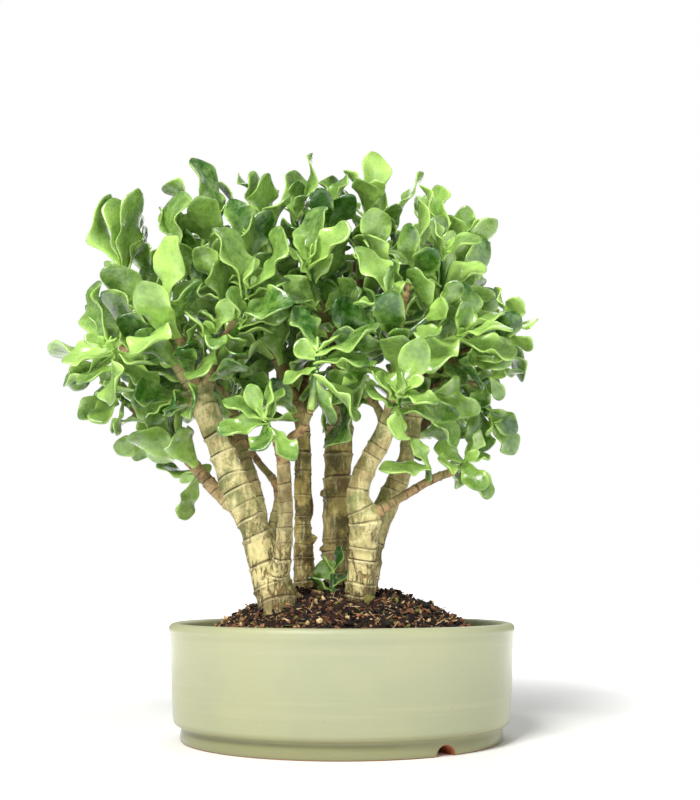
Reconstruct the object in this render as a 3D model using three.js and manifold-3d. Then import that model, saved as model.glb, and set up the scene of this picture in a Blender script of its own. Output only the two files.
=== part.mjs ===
// Silver jade plant grown as a bonsai, in a low oval glazed pot.
// Five trunks stand in a mound of soil, and their limbs carry leafy shoots with waved leaves.
// Millimetres, +Z up. Places are measured from the middle of the pot's foot, and the front
// faces -Y. The finished group is then moved so that its origin is below its middle.

import * as THREE from 'three';
import { mergeVertices } from 'three/addons/utils/BufferGeometryUtils.js';
import Module from 'manifold-3d';

const GAP = 0.35;                       // between pieces that touch
const SEAM = 0.2;                       // the small edges that a join leaves are closed up to this
const ORIGIN_X = 25.6;                  // the crown reaches further to the left than the pot

// Pot: its plan is an ellipse, so every radius below is along X and shrinks along Y.
const POT_LENGTH = 200;
const POT_DEPTH = 156;
const POT_HEIGHT = 64;
const POT_WALL = 7;
const POT_SEGMENTS = 36;
const FOOT_HEIGHT = 9;
const FOOT_RADIUS = 91.3;
const FOOT_RING = 10;                   // how wide the ring is that the pot stands on
const FLOOR_UNDERSIDE = 4;
const FLOOR_TOP = 12;
const WALL_FOOT = 17;                   // heights between which the inner wall is straight
const WALL_HEAD = 61.5;
const INNER_TAPER = 6;
const NOTCH_ANGLE = -54;                // degrees, one at the front right and one opposite it
const NOTCH_WIDTH = 8;
const NOTCH_HEIGHT = 5.5;
const DRAIN_HOLE = 12;
const DRAIN_SPACING = 46;

// Soil: a mound that rises above the rim round the trunks.
const SOIL_EDGE = 46;
const SOIL_PEAK = 83;
const SOIL_SHOULDER = 2;                // a larger power makes a flatter top
const SOIL_ROUGHNESS = 1.4;

// Wood: rings are the scars that fallen leaves left round a stem.
const RING_SPACING = 14;
const RING_RELIEF = 0.07;
const TRUNK_SIDES = 7;
const LIMB_SIDES = 5;
const TWIG_SIDES = 4;                   // of limbs whose foot is no thicker than TWIG_RADIUS
const TWIG_RADIUS = 3.45;
const LIMB_STEP = 26;
const STEM_STEP = 22;

// Leaves: widest at two thirds of their length, with a narrow stalk end and waved edges.
const LEAF_THICKNESS = 2.3;
const STALK_WIDTH = 0.24;
const WIDEST = 0.64;
const FOLD = 0.22;
const WAVE = 0.34;
const WAVE_COUNT = 1.9;
const SLENDERNESS = 0.58;               // least true width of a leaf, over its length
const ROOT_DEPTH = 1.8;                 // how far a leaf runs on past the middle of its stem
// A leaf longer than the first number has its sections at these shares of its length.
const LEAF_STATIONS = [[42, [0.3, 0.52, 0.72, 0.9]], [22, [0.36, 0.64, 0.87]], [0, [0.45, 0.8]]];
const STEM_RADIUS = 2;
const STEM_SAG = 0.1;                    // of the stem's length

// Small leaves: each older pair sits further back, spreads wider (degrees) and is longer.
const PAIR_STEP = 0.28;                 // of the stem's length
const FIRST_SPREAD = 28;
const SPREAD_STEP = 20;
const FIRST_LENGTH = 21;
const LENGTH_STEP = 6;

// Clear space that a leaf keeps, from one checked point to the next.
const CLEAR_LEAF = 4.4;
const CLEAR_OWN_LEAF = 2.4;
const CLEAR_WOOD = 2.1;

const FRONT = new THREE.Vector3(0, -1, 0);

// Limbs of each trunk, from its foot or fork to its tip: [x, y, z, radius] where it bends.
const TRUNKS = {
  a: {
    main: [[-29, -34, 51, 11], [-34, -32, 70, 11.3], [-39, -30, 88, 11], [-43, -30, 101, 9.8],
      [-50, -30, 118, 8.7], [-59, -30, 137, 8.1], [-69, -32, 161, 7.6], [-76, -35, 179, 7],
      [-80, -36, 192, 6.4]],
    left: [[-80, -36, 188, 5.1], [-92, -38, 206, 4.3], [-104, -36, 226, 3.2], [-120, -25, 252, 2.4]],
    mid: [[-84, -37, 195, 3.5], [-87, -44, 210, 3.1], [-95, -50, 229, 2.5]],
    right: [[-79, -35, 188, 4.6], [-76, -37, 203, 4.2], [-67, -44, 221, 3.4], [-60, -48, 233, 2.7]],
    low: [[-57, -30, 127, 5], [-68, -28, 134, 4], [-87, -24, 155, 3.6], [-109, -20, 177, 3.4],
      [-124, -20, 188, 2.5]],
    pale: [[-79, -38, 186, 2.9], [-88, -46, 187, 3.1], [-106, -48, 192, 2.8], [-123, -46, 207, 2.4]],
    second: [[-36, -34, 88, 6.6], [-32, -42, 101, 4.7], [-31, -43, 125, 4.4], [-32, -44, 148, 4.1],
      [-33, -46, 159, 3.7]],
    second_left: [[-33, -46, 155, 3.3], [-35, -56, 161, 2.5], [-36, -62, 163, 2.2]],
    second_right: [[-33, -46, 153, 3.3], [-28, -54, 164, 2.5], [-21, -64, 167, 2.2], [-16, -75, 176, 2.1]],
    third: [[-46, -22, 110, 4.8], [-50, -8, 134, 4.4], [-60, 2, 164, 3.7], [-70, 12, 195, 3.3],
      [-84, 28, 235, 2.8], [-92, 42, 266, 2.5], [-96, 50, 290, 2.3]],
    fourth: [[-41, -26, 96, 4], [-41, -9, 117, 2.7], [-39, 0, 142, 2.5], [-53, 12, 161, 2.4],
      [-66, 26, 185, 2.4], [-75, 42, 215, 2.3], [-85, 58, 243, 2.2]],
    rear_low: [[-57, 0, 158, 3.3], [-95, 22, 200, 2.8], [-130, 34, 228, 2.5], [-148, 40, 240, 2.3]],
    rear_high: [[-69, 11, 192, 3.1], [-95, 32, 235, 2.7], [-118, 45, 270, 2.4], [-128, 50, 284, 2.2]],
  },
  b: {
    main: [[-21, 8, 47, 8.3], [-21, 8, 70, 8.1], [-23, 8, 100, 6], [-24, 8, 128, 5.4],
      [-24, 8, 160, 4.9], [-25, 8, 182, 4.6], [-34, 4, 208, 4], [-46, -4, 232, 3.4], [-51, -8, 243, 3]],
    fan: [[-50, -7, 240, 2.9], [-58, -10, 262, 2.6], [-66, -13, 281, 2.3]],
    arch: [[-45, -3, 231, 2.8], [-50, -12, 251, 2.5], [-54, -17, 267, 2.3]],
    back: [[-24, 8, 178, 4], [-25, 18, 210, 3.6], [-29, 28, 242, 3.2], [-32, 28, 283, 2.5]],
    fold: [[-30, 28, 257, 2.9], [-38, 18, 276, 2.5], [-46, 8, 292, 2.3]],
    rear: [[-27, 24, 232, 2.9], [-40, 42, 264, 2.6], [-52, 54, 295, 2.3]],
    rear_low: [[-25, 16, 206, 3], [-38, 45, 236, 2.6], [-46, 64, 252, 2.3]],
    stub: [[-23, 11, 122, 1.8], [-19, 16, 129, 1.5], [-20, 15, 141, 1.1]],
  },
  c: {
    main: [[-2, 28, 46, 10.4], [-2, 28, 80, 10], [-3, 28, 110, 9.8], [-3, 28, 150, 9.2], [-2, 28, 190, 8.9],
      [0, 27, 216, 8], [1, 25, 236, 6.6]],
    left: [[0, 26, 217, 5.6], [-7, 18, 238, 4.6], [-11, 8, 262, 3.6], [-13, 0, 286, 2.7]],
    mid: [[1, 25, 230, 5.4], [6, 22, 258, 4.2], [10, 14, 286, 3.3], [12, 8, 303, 2.7]],
    right: [[1, 27, 230, 4.6], [9, 40, 255, 3.9], [20, 52, 291, 2.9]],
    front: [[-1, 24, 222, 4.4], [-6, -5, 236, 3.4], [-14, -35, 248, 2.6]],
    rear: [[-1, 28, 226, 4], [-7, 43, 262, 3], [-14, 55, 295, 2.4]],
    rear_low: [[5, 34, 243, 3.4], [4, 52, 244, 2.9], [3, 68, 249, 2.5]],
  },
  d: {
    main: [[10, -29, 54, 8.8], [10, -30, 79, 8.3], [12, -33, 104, 8], [13, -37, 120, 8.6],
      [9, -38, 134, 6.4], [13, -39, 148, 6.2], [23, -42, 167, 5.9], [28, -48, 182, 4.5], [30, -56, 199, 3.6],
      [29, -66, 222, 2.7]],
    crest: [[30, -62, 214, 2.8], [34, -62, 236, 2.6], [37, -60, 250, 2.4]],
    twig: [[25, -43, 170, 2.9], [20, -41, 184, 2.3], [14, -40, 190, 2.1]],
    right: [[13, -38, 121, 4.6], [23, -38, 127, 3], [38, -37, 136, 2.6], [52, -35, 144, 2.5],
      [65, -30, 149, 2.4]],
  },
  e: {
    main: [[12, 6, 46, 9.1], [12, 6, 76, 8.8], [18, 9, 112, 8.1], [30, 16, 139, 7.3], [39, 14, 160, 5.9],
      [44, 9, 187, 5.2], [48, 0, 208, 4.3], [56, -10, 229, 3.5], [63, -15, 244, 2.9]],
    right: [[45, 7, 192, 3.8], [54, 2, 202, 3.1], [68, -3, 207, 2.6], [81, -5, 204, 2.4]],
    up: [[47, 3, 201, 3.8], [48, 10, 227, 3.4], [46, 14, 252, 3], [37, 16, 289, 2.5]],
    tall: [[61, -13, 239, 2.8], [68, -6, 262, 2.5], [73, 2, 282, 2.3]],
    front: [[49, -2, 211, 3.2], [58, -24, 216, 2.7], [64, -42, 219, 2.4]],
    far: [[49, -2, 210, 3.4], [66, -3, 220, 2.9], [84, -3, 229, 2.6], [96, -3, 236, 2.3]],
    rear_up: [[48, 10, 226, 3], [54, 36, 266, 2.6], [60, 50, 292, 2.3]],
    rear: [[45, 8, 190, 3.6], [66, 26, 220, 2.9], [88, 44, 245, 2.4]],
    rear_low: [[41, 12, 170, 3.6], [54, 32, 188, 2.9], [64, 48, 199, 2.4]],
  },
};

// Leafy shoots: the limb each grows from and how far along it, where the shoot's tip is, how many
// small leaves crowd that tip, and its large leaves as [x, y, z of the leaf's tip, seen width].
const SHOOTS = {
  left_top: ['a.left', 1, [-137, -12, 281], 2, [[-148, -5, 275, 6], [-144, -25, 276, 8],
    [-135, 25, 318, 9], [-124, 5, 306, 12], [-118, -5, 322, 11], [-149, -16, 323, 10]]],
  left_hero: ['a.mid', 1, [-100, -55, 239], 2, [[-121, -50, 250, 11], [-82, -45, 257, 14],
    [-106, -85, 206, 18], [-108, -60, 243, 8], [-95, -62, 280, 20]]],
  left_rosette: ['a.pale', 1, [-127, -58, 214], 1, [[-105, -38, 193, 13], [-170, -12, 213, 6],
    [-157, -30, 198, 5], [-143, -50, 189, 12], [-141, -30, 252, 17], [-100, -75, 200, 12],
    [-155, -45, 209, 15], [-119, -80, 180, 10], [-146, -35, 240, 12], [-140, -70, 215, 8]]],
  left_low: ['a.low', 1, [-133, -22, 196], 4, [[-127, -30, 170, 5], [-154, -25, 180, 15]]],
  left_hanging: ['a.low', 0.68, [-121, 8, 174], 3, [[-133, 5, 160, 12], [-113, 15, 156, 21]]],
  lone_hanging: ['a.low', 0.42, [-90, 12, 151], 1, [[-94, 5, 122, 10]]],
  top_left_fan: ['b.fan', 1, [-77, -18, 304], 1, [[-101, -25, 304, 11], [-81, 5, 329, 13],
    [-108, 5, 332, 12], [-93, -5, 342, 15], [-94, -35, 316, 19]]],
  top_left_arch: ['b.arch', 1, [-56, -22, 288], 2, [[-56, -50, 296, 9], [-74, 10, 351, 9],
    [-47, -45, 298, 14], [-67, -30, 325, 21]]],
  top_fold: ['b.fold', 1, [-50, 6, 313], 2, [[-39, -25, 318, 7], [-45, 20, 356, 9],
    [-59, -5, 342, 13], [-46, -15, 339, 11]]],
  top_oval: ['b.back', 1, [-29, -5, 313], 2, [[-36, -30, 300, 8], [-20, 5, 358, 7], [-29, -12, 341, 16]]],
  front_fork: ['a.right', 1, [-50, -65, 247], 4, [[-70, -60, 285, 12], [-30, -75, 277, 11],
    [-46, -85, 257, 8]]],
  left_inner: ['a.right', 0.8, [-70, -38, 256], 3, [[-86, -45, 277, 13], [-70, -60, 266, 10]]],
  left_behind: ['a.left', 0.7, [-93, -22, 277], 3, [[-94, -30, 295, 14]]],
  centre_top: ['c.front', 1, [-19, -60, 263], 1, [[-27, -70, 265, 7], [-5, -50, 273, 12],
    [3, -80, 279, 14], [-17, -55, 305, 17], [-15, -72, 272, 4]]],
  centre_dark: ['c.left', 1, [-8, -12, 312], 3, [[6, -25, 320, 14], [0, -5, 342, 13], [-17, -30, 323, 15]]],
  top_hero: ['c.mid', 1, [16, 0, 321], 3, [[27, 15, 338, 13], [4, 5, 351, 9], [21, -8, 358, 20]]],
  centre_pale: ['d.crest', 0.6, [22, -40, 277], 3, [[13, -60, 281, 8], [19, -55, 298, 21]]],
  front_upper: ['d.main', 1, [28, -75, 236], 4, [[8, -80, 266, 17], [29, -92, 250, 9]]],
  right_crest: ['d.crest', 1, [43, -60, 264], 1, [[25, -55, 286, 11], [51, -85, 259, 14],
    [34, -70, 282, 11], [46, -50, 307, 7]]],
  long_curl: ['e.up', 1, [31, 12, 317], 3, [[57, 10, 348, 8]]],
  right_arch: ['e.main', 1, [56, -28, 285], 2, [[65, -40, 291, 12], [58, -45, 298, 11],
    [49, -20, 330, 11]]],
  right_upright: ['e.tall', 1, [77, 4, 302], 3, [[78, 0, 324, 15], [99, -10, 307, 13]]],
  right_bright: ['e.main', 0.96, [58, -50, 270], 2, [[84, -40, 269, 14], [77, -70, 274, 12]]],
  right_middle: ['d.main', 0.97, [54, -65, 236], 2, [[49, -82, 213, 16], [58, -80, 233, 12],
    [65, -70, 249, 11], [41, -85, 251, 6]]],
  right_rosette: ['e.front', 1, [66, -55, 223], 1, [[93, -40, 240, 13], [98, -60, 211, 13],
    [93, -70, 222, 11], [44, -78, 196, 20], [74, -55, 255, 14]]],
  right_end: ['e.far', 1, [103, -3, 240], 2, [[116, -10, 225, 5], [93, 5, 269, 6], [109, -5, 264, 14]]],
  right_shade: ['e.far', 0.4, [77, -28, 219], 4, [[100, -30, 213, 18], [75, -60, 205, 13]]],
  right_outer: ['e.right', 1, [90, -9, 208], 2, [[81, -15, 186, 14], [98, -5, 195, 10]]],
  front_rosette: ['d.main', 0.72, [31, -90, 183], 0, [[26, -95, 159, 9], [47, -85, 169, 10],
    [12, -85, 184, 6], [50, -100, 174, 11], [28, -105, 167, 10], [15, -95, 190, 9], [25, -90, 201, 5],
    [41, -95, 211, 17]]],
  right_layers: ['d.main', 0.8, [50, -50, 188], 2, [[61, -30, 199, 8], [68, -40, 164, 16],
    [66, -60, 171, 9], [77, -55, 180, 10]]],
  right_pair: ['e.right', 0.85, [88, -12, 184], 1, [[83, -20, 162, 18], [106, -10, 175, 15],
    [107, -4, 160, 16]]],
  branch_end: ['d.right', 1, [70, -33, 154], 1, [[86, -36, 135, 12], [43, -35, 152, 8],
    [86, -20, 158, 6], [55, -42, 163, 11]]],
  branch_side: ['d.right', 0.7, [48, -44, 150], 1, [[20, -52, 144, 13]]],
  front_shoot: ['a.second_right', 1, [-12, -82, 207], 0, [[11, -80, 170, 4], [-3, -70, 169, 7],
    [-31, -85, 189, 6], [-11, -60, 190, 6], [15, -90, 200, 10], [-25, -85, 209, 12], [23, -85, 217, 8],
    [-24, -75, 233, 12]]],
  front_low: ['a.second_left', 1, [-41, -78, 172], 0, [[-23, -75, 150, 10], [-64, -85, 164, 13],
    [-30, -60, 190, 7], [-41, -95, 151, 13], [-62, -75, 183, 7], [-35, -80, 191, 4], [-49, -85, 187, 11]]],
  torn: ['a.right', 0.45, [-71, -56, 224], 3, [[-81, -64, 194, 13], [-67, -72, 211, 11],
    [-61, -60, 243, 12]]],
  centre_left: ['a.right', 0.68, [-53, -62, 230], 4, [[-21, -80, 233, 19]]],
  left_curved: ['a.third', 0.5, [-61, -26, 210], 3, [[-61, -20, 215, 18], [-46, -50, 221, 9],
    [-45, -42, 187, 16]]],
  centre_broad: ['d.main', 0.93, [20, -52, 226], 3, [[-6, -55, 219, 13], [-5, -62, 239, 22]]],
  centre_round: ['d.twig', 1, [11, -47, 198], 3, [[3, -70, 186, 8], [-10, -58, 194, 15]]],
  rear_left_top: ['a.rear_high', 1, [-137, 52, 304], 7, []],
  rear_left: ['a.rear_low', 1, [-152, 44, 256], 7, []],
  rear_left_high: ['a.third', 1, [-98, 54, 316], 7, []],
  rear_left_middle: ['a.fourth', 1, [-93, 66, 268], 7, []],
  rear_top_left: ['b.rear', 1, [-58, 64, 318], 7, []],
  rear_centre_left: ['b.rear_low', 1, [-51, 76, 276], 7, []],
  rear_top: ['c.rear', 1, [-18, 62, 323], 7, []],
  rear_top_right: ['c.right', 1, [23, 66, 319], 7, []],
  rear_centre: ['c.rear_low', 1, [1, 88, 270], 7, []],
  rear_right_high: ['e.rear_up', 1, [64, 58, 318], 7, []],
  rear_right: ['e.rear', 1, [95, 54, 264], 7, []],
  rear_right_low: ['e.rear_low', 1, [72, 56, 216], 7, []],
};

// Sprout: a young shoot that comes out of the soil between the trunks.
const SPROUT_FOOT = [-4, -24, 70];
const SPROUT_TIP = [-5, -25, 93];
const SPROUT_LEAVES = [[-19, -26, 90, 4], [22, -12, 94, 5], [0, -22, 107, 5], [-12, -36, 95, 15]];

const wasm = await Module();
wasm.setup();

const point = (place) => new THREE.Vector3(place[0], place[1], place[2]);
const mix = THREE.MathUtils.lerp;

// Seeded draws, so that the plant grows the same way each time.
let seed = 20417;
function draw(low, high) {
  seed = (seed * 1664525 + 1013904223) % 4294967296;
  return low + (high - low) * seed / 4294967296;
}

function toSolid(geometry) {
  const bare = geometry.clone();
  bare.deleteAttribute('normal');
  bare.deleteAttribute('uv');
  const merged = mergeVertices(bare, 1e-4);
  const vertProperties = new Float32Array(merged.attributes.position.array);
  const triVerts = new Uint32Array(merged.index.array);
  return new wasm.Manifold(new wasm.Mesh({ numProp: 3, vertProperties, triVerts }));
}

function toGeometry(solid) {
  const mesh = solid.getMesh();
  const geometry = new THREE.BufferGeometry();
  geometry.setAttribute('position', new THREE.BufferAttribute(mesh.vertProperties, 3));
  geometry.setIndex(new THREE.BufferAttribute(mesh.triVerts, 1));
  geometry.computeVertexNormals();
  return geometry;
}

// A cut can leave crumbs, and the largest body is the piece itself.
function largestBody(solid) {
  return solid.decompose().reduce((best, body) => (body.volume() > best.volume() ? body : best));
}

function finish(color, roughness) {
  return new THREE.MeshStandardMaterial({ color, roughness, metalness: 0 });
}

// Wood

// A limb is a smooth curve through its places, with its radius worked out between them.
function makeLimb(places) {
  const curve = new THREE.CatmullRomCurve3(places.map(point), false, 'catmullrom', 0.5);
  const radiusAt = (t) => {
    const along = t * (places.length - 1);
    const before = Math.min(Math.floor(along), places.length - 2);
    return mix(places[before][3], places[before + 1][3], along - before);
  };
  return { curve, radiusAt, length: curve.getLength() };
}

// Sweeps a round section along a curve by bending a straight cylinder onto it.
function sweep({ curve, radiusAt }, sides, steps, ridged, grow) {
  const bent = new THREE.CylinderGeometry(1, 1, 1, sides, steps);
  const chord = curve.getPoint(1).sub(curve.getPoint(0)).normalize();
  const reference = Math.abs(chord.y) < 0.8 ? new THREE.Vector3(0, 1, 0) : new THREE.Vector3(1, 0, 0);
  const position = bent.attributes.position;
  for (let i = 0; i < position.count; i += 1) {
    const t = position.getY(i) + 0.5;
    const step = Math.round(t * steps);
    const tangent = curve.getTangent(t);
    const across = reference.clone().addScaledVector(tangent, -reference.dot(tangent)).normalize();
    const sideways = across.clone().cross(tangent);
    const ridge = ridged && step % 2 === 1 ? 1 + RING_RELIEF : 1;
    const radius = radiusAt(t) * ridge + grow;
    const end = step === 0 ? -grow : step === steps ? grow : 0;
    const place = curve.getPoint(t).addScaledVector(tangent, end);
    place.addScaledVector(across, position.getX(i) * radius);
    place.addScaledVector(sideways, position.getZ(i) * radius);
    position.setXYZ(i, place.x, place.y, place.z);
  }
  return toSolid(bent);
}

function trunkSolid(limbs, grow) {
  const parts = Object.entries(limbs).map(([name, limb]) => {
    const rings = Math.round(limb.length / RING_SPACING);
    if (name === 'main') return sweep(limb, TRUNK_SIDES, 2 * rings, true, grow);
    const sides = limb.radiusAt(0) > TWIG_RADIUS ? LIMB_SIDES : TWIG_SIDES;
    return sweep(limb, sides, Math.max(2, Math.round(limb.length / LIMB_STEP)), false, grow);
  });
  return parts.reduce((whole, part) => whole.add(part));
}

// Leaves

// Half width of a leaf over its full half width: stalk, broad blade, round end.
function outline(u) {
  const rise = Math.min(u / WIDEST, 1);
  const blade = STALK_WIDTH + (1 - STALK_WIDTH) * rise * rise * (3 - 2 * rise);
  const end = Math.max(0, (u - WIDEST) / (1 - WIDEST));
  return blade * Math.sqrt(Math.max(0, 1 - end * end));
}

// A point of the leaf's middle sheet: u runs from stalk to tip, and v from edge to edge.
function leafPoint(leaf, u, v) {
  const half = leaf.width / 2 * outline(u);
  const ripple = Math.sin(2 * Math.PI * WAVE_COUNT * u + leaf.phase + (v > 0 ? 2.2 : 0));
  const lift = leaf.curl * leaf.length * Math.sin(Math.PI * u) + v * v * half * (FOLD + WAVE * ripple);
  return leaf.base.clone()
    .addScaledVector(leaf.along, leaf.length * u)
    .addScaledVector(leaf.side, v * half)
    .addScaledVector(leaf.up, lift);
}

// A leaf's section has a left edge, an upper and a lower middle, and a right edge. Both faces
// are split the same way, so that they never meet between the edges. It begins and ends in a
// point, and the first lies sunk in the stem.
function leafSolid(leaf) {
  const stations = LEAF_STATIONS.find(([least]) => leaf.length > least)[1];
  const position = [];
  const index = [];
  const put = (place) => position.push(place.x, place.y, place.z);
  put(leaf.base.clone().addScaledVector(leaf.along, -ROOT_DEPTH));
  for (const u of stations) {
    const middle = leafPoint(leaf, u, 0);
    const half = LEAF_THICKNESS / 2 * (1 - 0.35 * u);
    put(leafPoint(leaf, u, -1));
    put(middle.clone().addScaledVector(leaf.up, half));
    put(leafPoint(leaf, u, 1));
    put(middle.clone().addScaledVector(leaf.up, -half));
  }
  put(leafPoint(leaf, 1, 0));
  for (let ring = 0; ring < stations.length - 1; ring += 1) {
    const [left, top, right, under] = [1, 2, 3, 4].map((corner) => 4 * ring + corner);
    index.push(left, top + 4, top, left, left + 4, top + 4);
    index.push(left, under, under + 4, left, under + 4, left + 4);
    index.push(right, top, top + 4, right, top + 4, right + 4);
    index.push(right, under + 4, under, right, right + 4, under + 4);
  }
  const last = 4 * stations.length - 3;
  for (let corner = 0; corner < 4; corner += 1) {
    const next = (corner + 1) % 4;
    index.push(0, 1 + corner, 1 + next);
    index.push(last + corner, last + 4, last + next);
  }
  const geometry = new THREE.BufferGeometry();
  geometry.setAttribute('position', new THREE.Float32BufferAttribute(position, 3));
  geometry.setIndex(index);
  return toSolid(geometry);
}

// Where a leaf is checked for clear space: a grid of points on it past its stalk.
function checkedPoints(leaf) {
  const places = [];
  for (const u of [0.3, 0.42, 0.54, 0.66, 0.78, 0.9, 1]) {
    for (const v of [-0.9, -0.45, 0, 0.45, 0.9]) places.push(leafPoint(leaf, u, v));
  }
  return places;
}

// Points along every limb and stem, each with the radius of the wood there.
const wood = [];
function noteWood({ curve, radiusAt, length }, owner) {
  const count = Math.max(3, Math.round(length / 3));
  for (let i = 0; i <= count; i += 1) {
    wood.push({ place: curve.getPoint(i / count), radius: radiusAt(i / count), owner });
  }
}

const grown = [];
function isClear(leaf) {
  const places = checkedPoints(leaf);
  const middle = leafPoint(leaf, 0.6, 0);
  const reach = leaf.length;
  for (const { place, radius, owner } of wood) {
    if (owner === leaf.owner || middle.distanceTo(place) > reach) continue;
    if (places.some((spot) => spot.distanceTo(place) < radius + CLEAR_WOOD)) return false;
  }
  for (const other of grown) {
    if (middle.distanceTo(other.middle) > reach + other.leaf.length) continue;
    const least = other.leaf.owner === leaf.owner ? CLEAR_OWN_LEAF : CLEAR_LEAF;
    if (places.some((spot) => other.places.some((taken) => spot.distanceTo(taken) < least))) return false;
  }
  grown.push({ leaf, places, middle });
  return true;
}

function turned(direction, towards, degrees) {
  const angle = THREE.MathUtils.degToRad(degrees);
  const across = towards.clone().addScaledVector(direction, -towards.dot(direction)).normalize();
  return direction.clone().multiplyScalar(Math.cos(angle)).addScaledVector(across, Math.sin(angle));
}

// A leaf's upper face looks along the stem, and turns about its length by what its width shows.
function faceUp(leaf, stemAxis, turn) {
  const front = turned(leaf.along, FRONT, 90);
  const side = front.clone().cross(leaf.along);
  const natural = stemAxis.clone().addScaledVector(leaf.along, -stemAxis.dot(leaf.along));
  const choices = [1, -1].flatMap((face) => [1, -1].map((way) => front.clone()
    .multiplyScalar(face * Math.cos(turn)).addScaledVector(side, way * Math.sin(turn))));
  return choices.reduce((best, choice) => (choice.dot(natural) > best.dot(natural) ? choice : best));
}

function setUp(leaf, up) {
  leaf.up = up;
  leaf.side = up.clone().cross(leaf.along).normalize();
}

// A large leaf is swung towards or away from the front until it is clear of the rest.
function growLargeLeaf(owner, base, stemAxis, [x, y, z, seen]) {
  const tip = new THREE.Vector3(x, y, z);
  const length = tip.distanceTo(base);
  const along = tip.clone().sub(base).normalize();
  const width = Math.max(seen, SLENDERNESS * length);
  const leaf = { owner, base, along, curl: draw(-0.1, 0.13), phase: draw(0, 2 * Math.PI) };
  for (const shrink of [1, 0.86, 0.74]) {
    for (const swing of [0, 10, -10, 20, -20, 32, -32, 45, -45]) {
      leaf.along = turned(along, FRONT, swing);
      leaf.length = length * shrink;
      leaf.width = width * shrink;
      setUp(leaf, faceUp(leaf, stemAxis, Math.acos(seen / width)));
      if (isClear(leaf)) return leaf;
    }
  }
  return null;
}

// Small leaves sit in pairs, each pair a quarter turn from the last: the youngest at the tip.
function growSmallLeaf(owner, stem, number, roll) {
  const pair = Math.floor(number / 2);
  const share = 1 - PAIR_STEP * pair;
  const base = stem.curve.getPoint(share);
  const stemAxis = stem.curve.getTangent(share);
  const spoke = turned(stemAxis, new THREE.Vector3(0.3, 0.8, 0.5), 90);
  const crossways = stemAxis.clone().cross(spoke);
  const azimuth = roll + 90 * pair + 180 * (number % 2) + draw(-12, 12);
  const spread = FIRST_SPREAD + SPREAD_STEP * pair + draw(-6, 6);
  const length = FIRST_LENGTH + LENGTH_STEP * pair + draw(-2, 3);
  const leaf = { owner, base, length, curl: draw(-0.08, 0.15), phase: draw(0, 2 * Math.PI) };
  for (const [swing, lean, shrink] of [[0, 0, 1], [22, 0, 1], [-22, 0, 1], [0, 16, 1], [0, -16, 1],
    [44, 8, 0.9], [-44, 8, 0.9], [24, -14, 0.8], [-24, -14, 0.8], [0, 0, 0.7]]) {
    const around = THREE.MathUtils.degToRad(azimuth + swing);
    const outward = spoke.clone().multiplyScalar(Math.cos(around));
    outward.addScaledVector(crossways, Math.sin(around));
    leaf.along = turned(stemAxis, outward, spread + lean);
    leaf.length = length * shrink;
    leaf.width = leaf.length * SLENDERNESS;
    setUp(leaf, turned(leaf.along, stemAxis, 90));
    if (isClear(leaf)) return leaf;
  }
  return null;
}

// Shoots

function makeStem(root, tip) {
  const elbow = root.clone().lerp(tip, 0.55);
  elbow.z -= STEM_SAG * root.distanceTo(tip);
  const curve = new THREE.QuadraticBezierCurve3(root, elbow, tip);
  return { curve, radiusAt: (t) => STEM_RADIUS * (1.05 - 0.3 * t), length: curve.getLength() };
}

// Large leaves sit along the outer half of the stem, those that point forward nearest its tip.
function growLargeLeaves(shoot) {
  const { name, stem, large } = shoot;
  const axis = stem.curve.getTangent(1);
  const forward = (leaf) => point(leaf).sub(stem.curve.getPoint(1)).dot(axis);
  const order = [...large].sort((one, other) => forward(one) - forward(other));
  return order.map((entry, rank) => {
    const share = large.length > 1 ? mix(0.5, 1, rank / (large.length - 1)) : 0.9;
    return growLargeLeaf(name, stem.curve.getPoint(share), stem.curve.getTangent(share), entry);
  });
}

function stemSolid(stem, grow) {
  return sweep(stem, TWIG_SIDES, Math.max(1, Math.round(stem.length / STEM_STEP)), false, grow);
}

function shootSolid(shoot) {
  return shoot.leaves.map(leafSolid).reduce((whole, leaf) => whole.add(leaf), stemSolid(shoot.stem, 0));
}

const limbs = {};
for (const [trunk, parts] of Object.entries(TRUNKS)) {
  limbs[trunk] = {};
  for (const [name, places] of Object.entries(parts)) {
    limbs[trunk][name] = makeLimb(places);
    noteWood(limbs[trunk][name], trunk);
  }
}

const shoots = Object.entries(SHOOTS).map(([name, [limbName, share, tip, small, large]]) => {
  const [trunk, part] = limbName.split('.');
  const root = limbs[trunk][part].curve.getPoint(share);
  return { name, stem: makeStem(root, point(tip)), small, large };
});
const sprout = {
  name: 'sprout',
  stem: makeStem(point(SPROUT_FOOT), point(SPROUT_TIP)),
  small: 0,
  large: SPROUT_LEAVES,
};
shoots.push(sprout);
for (const shoot of shoots) noteWood(shoot.stem, shoot.name);
for (const shoot of shoots) shoot.leaves = growLargeLeaves(shoot);
for (const shoot of shoots) {
  const roll = draw(0, 90);
  for (let number = 0; number < shoot.small; number += 1) {
    shoot.leaves.push(growSmallLeaf(shoot.name, shoot.stem, number, roll));
  }
  shoot.leaves = shoot.leaves.filter((leaf) => leaf !== null);
}

// Pot

function latheShape(outlinePoints) {
  const lathe = new THREE.LatheGeometry(outlinePoints, POT_SEGMENTS);
  lathe.rotateX(Math.PI / 2);
  lathe.scale(1, POT_DEPTH / POT_LENGTH, 1);
  return lathe;
}

const rimRadius = POT_LENGTH / 2;
const innerTop = rimRadius - POT_WALL;
const innerBottom = innerTop - INNER_TAPER;

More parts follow.
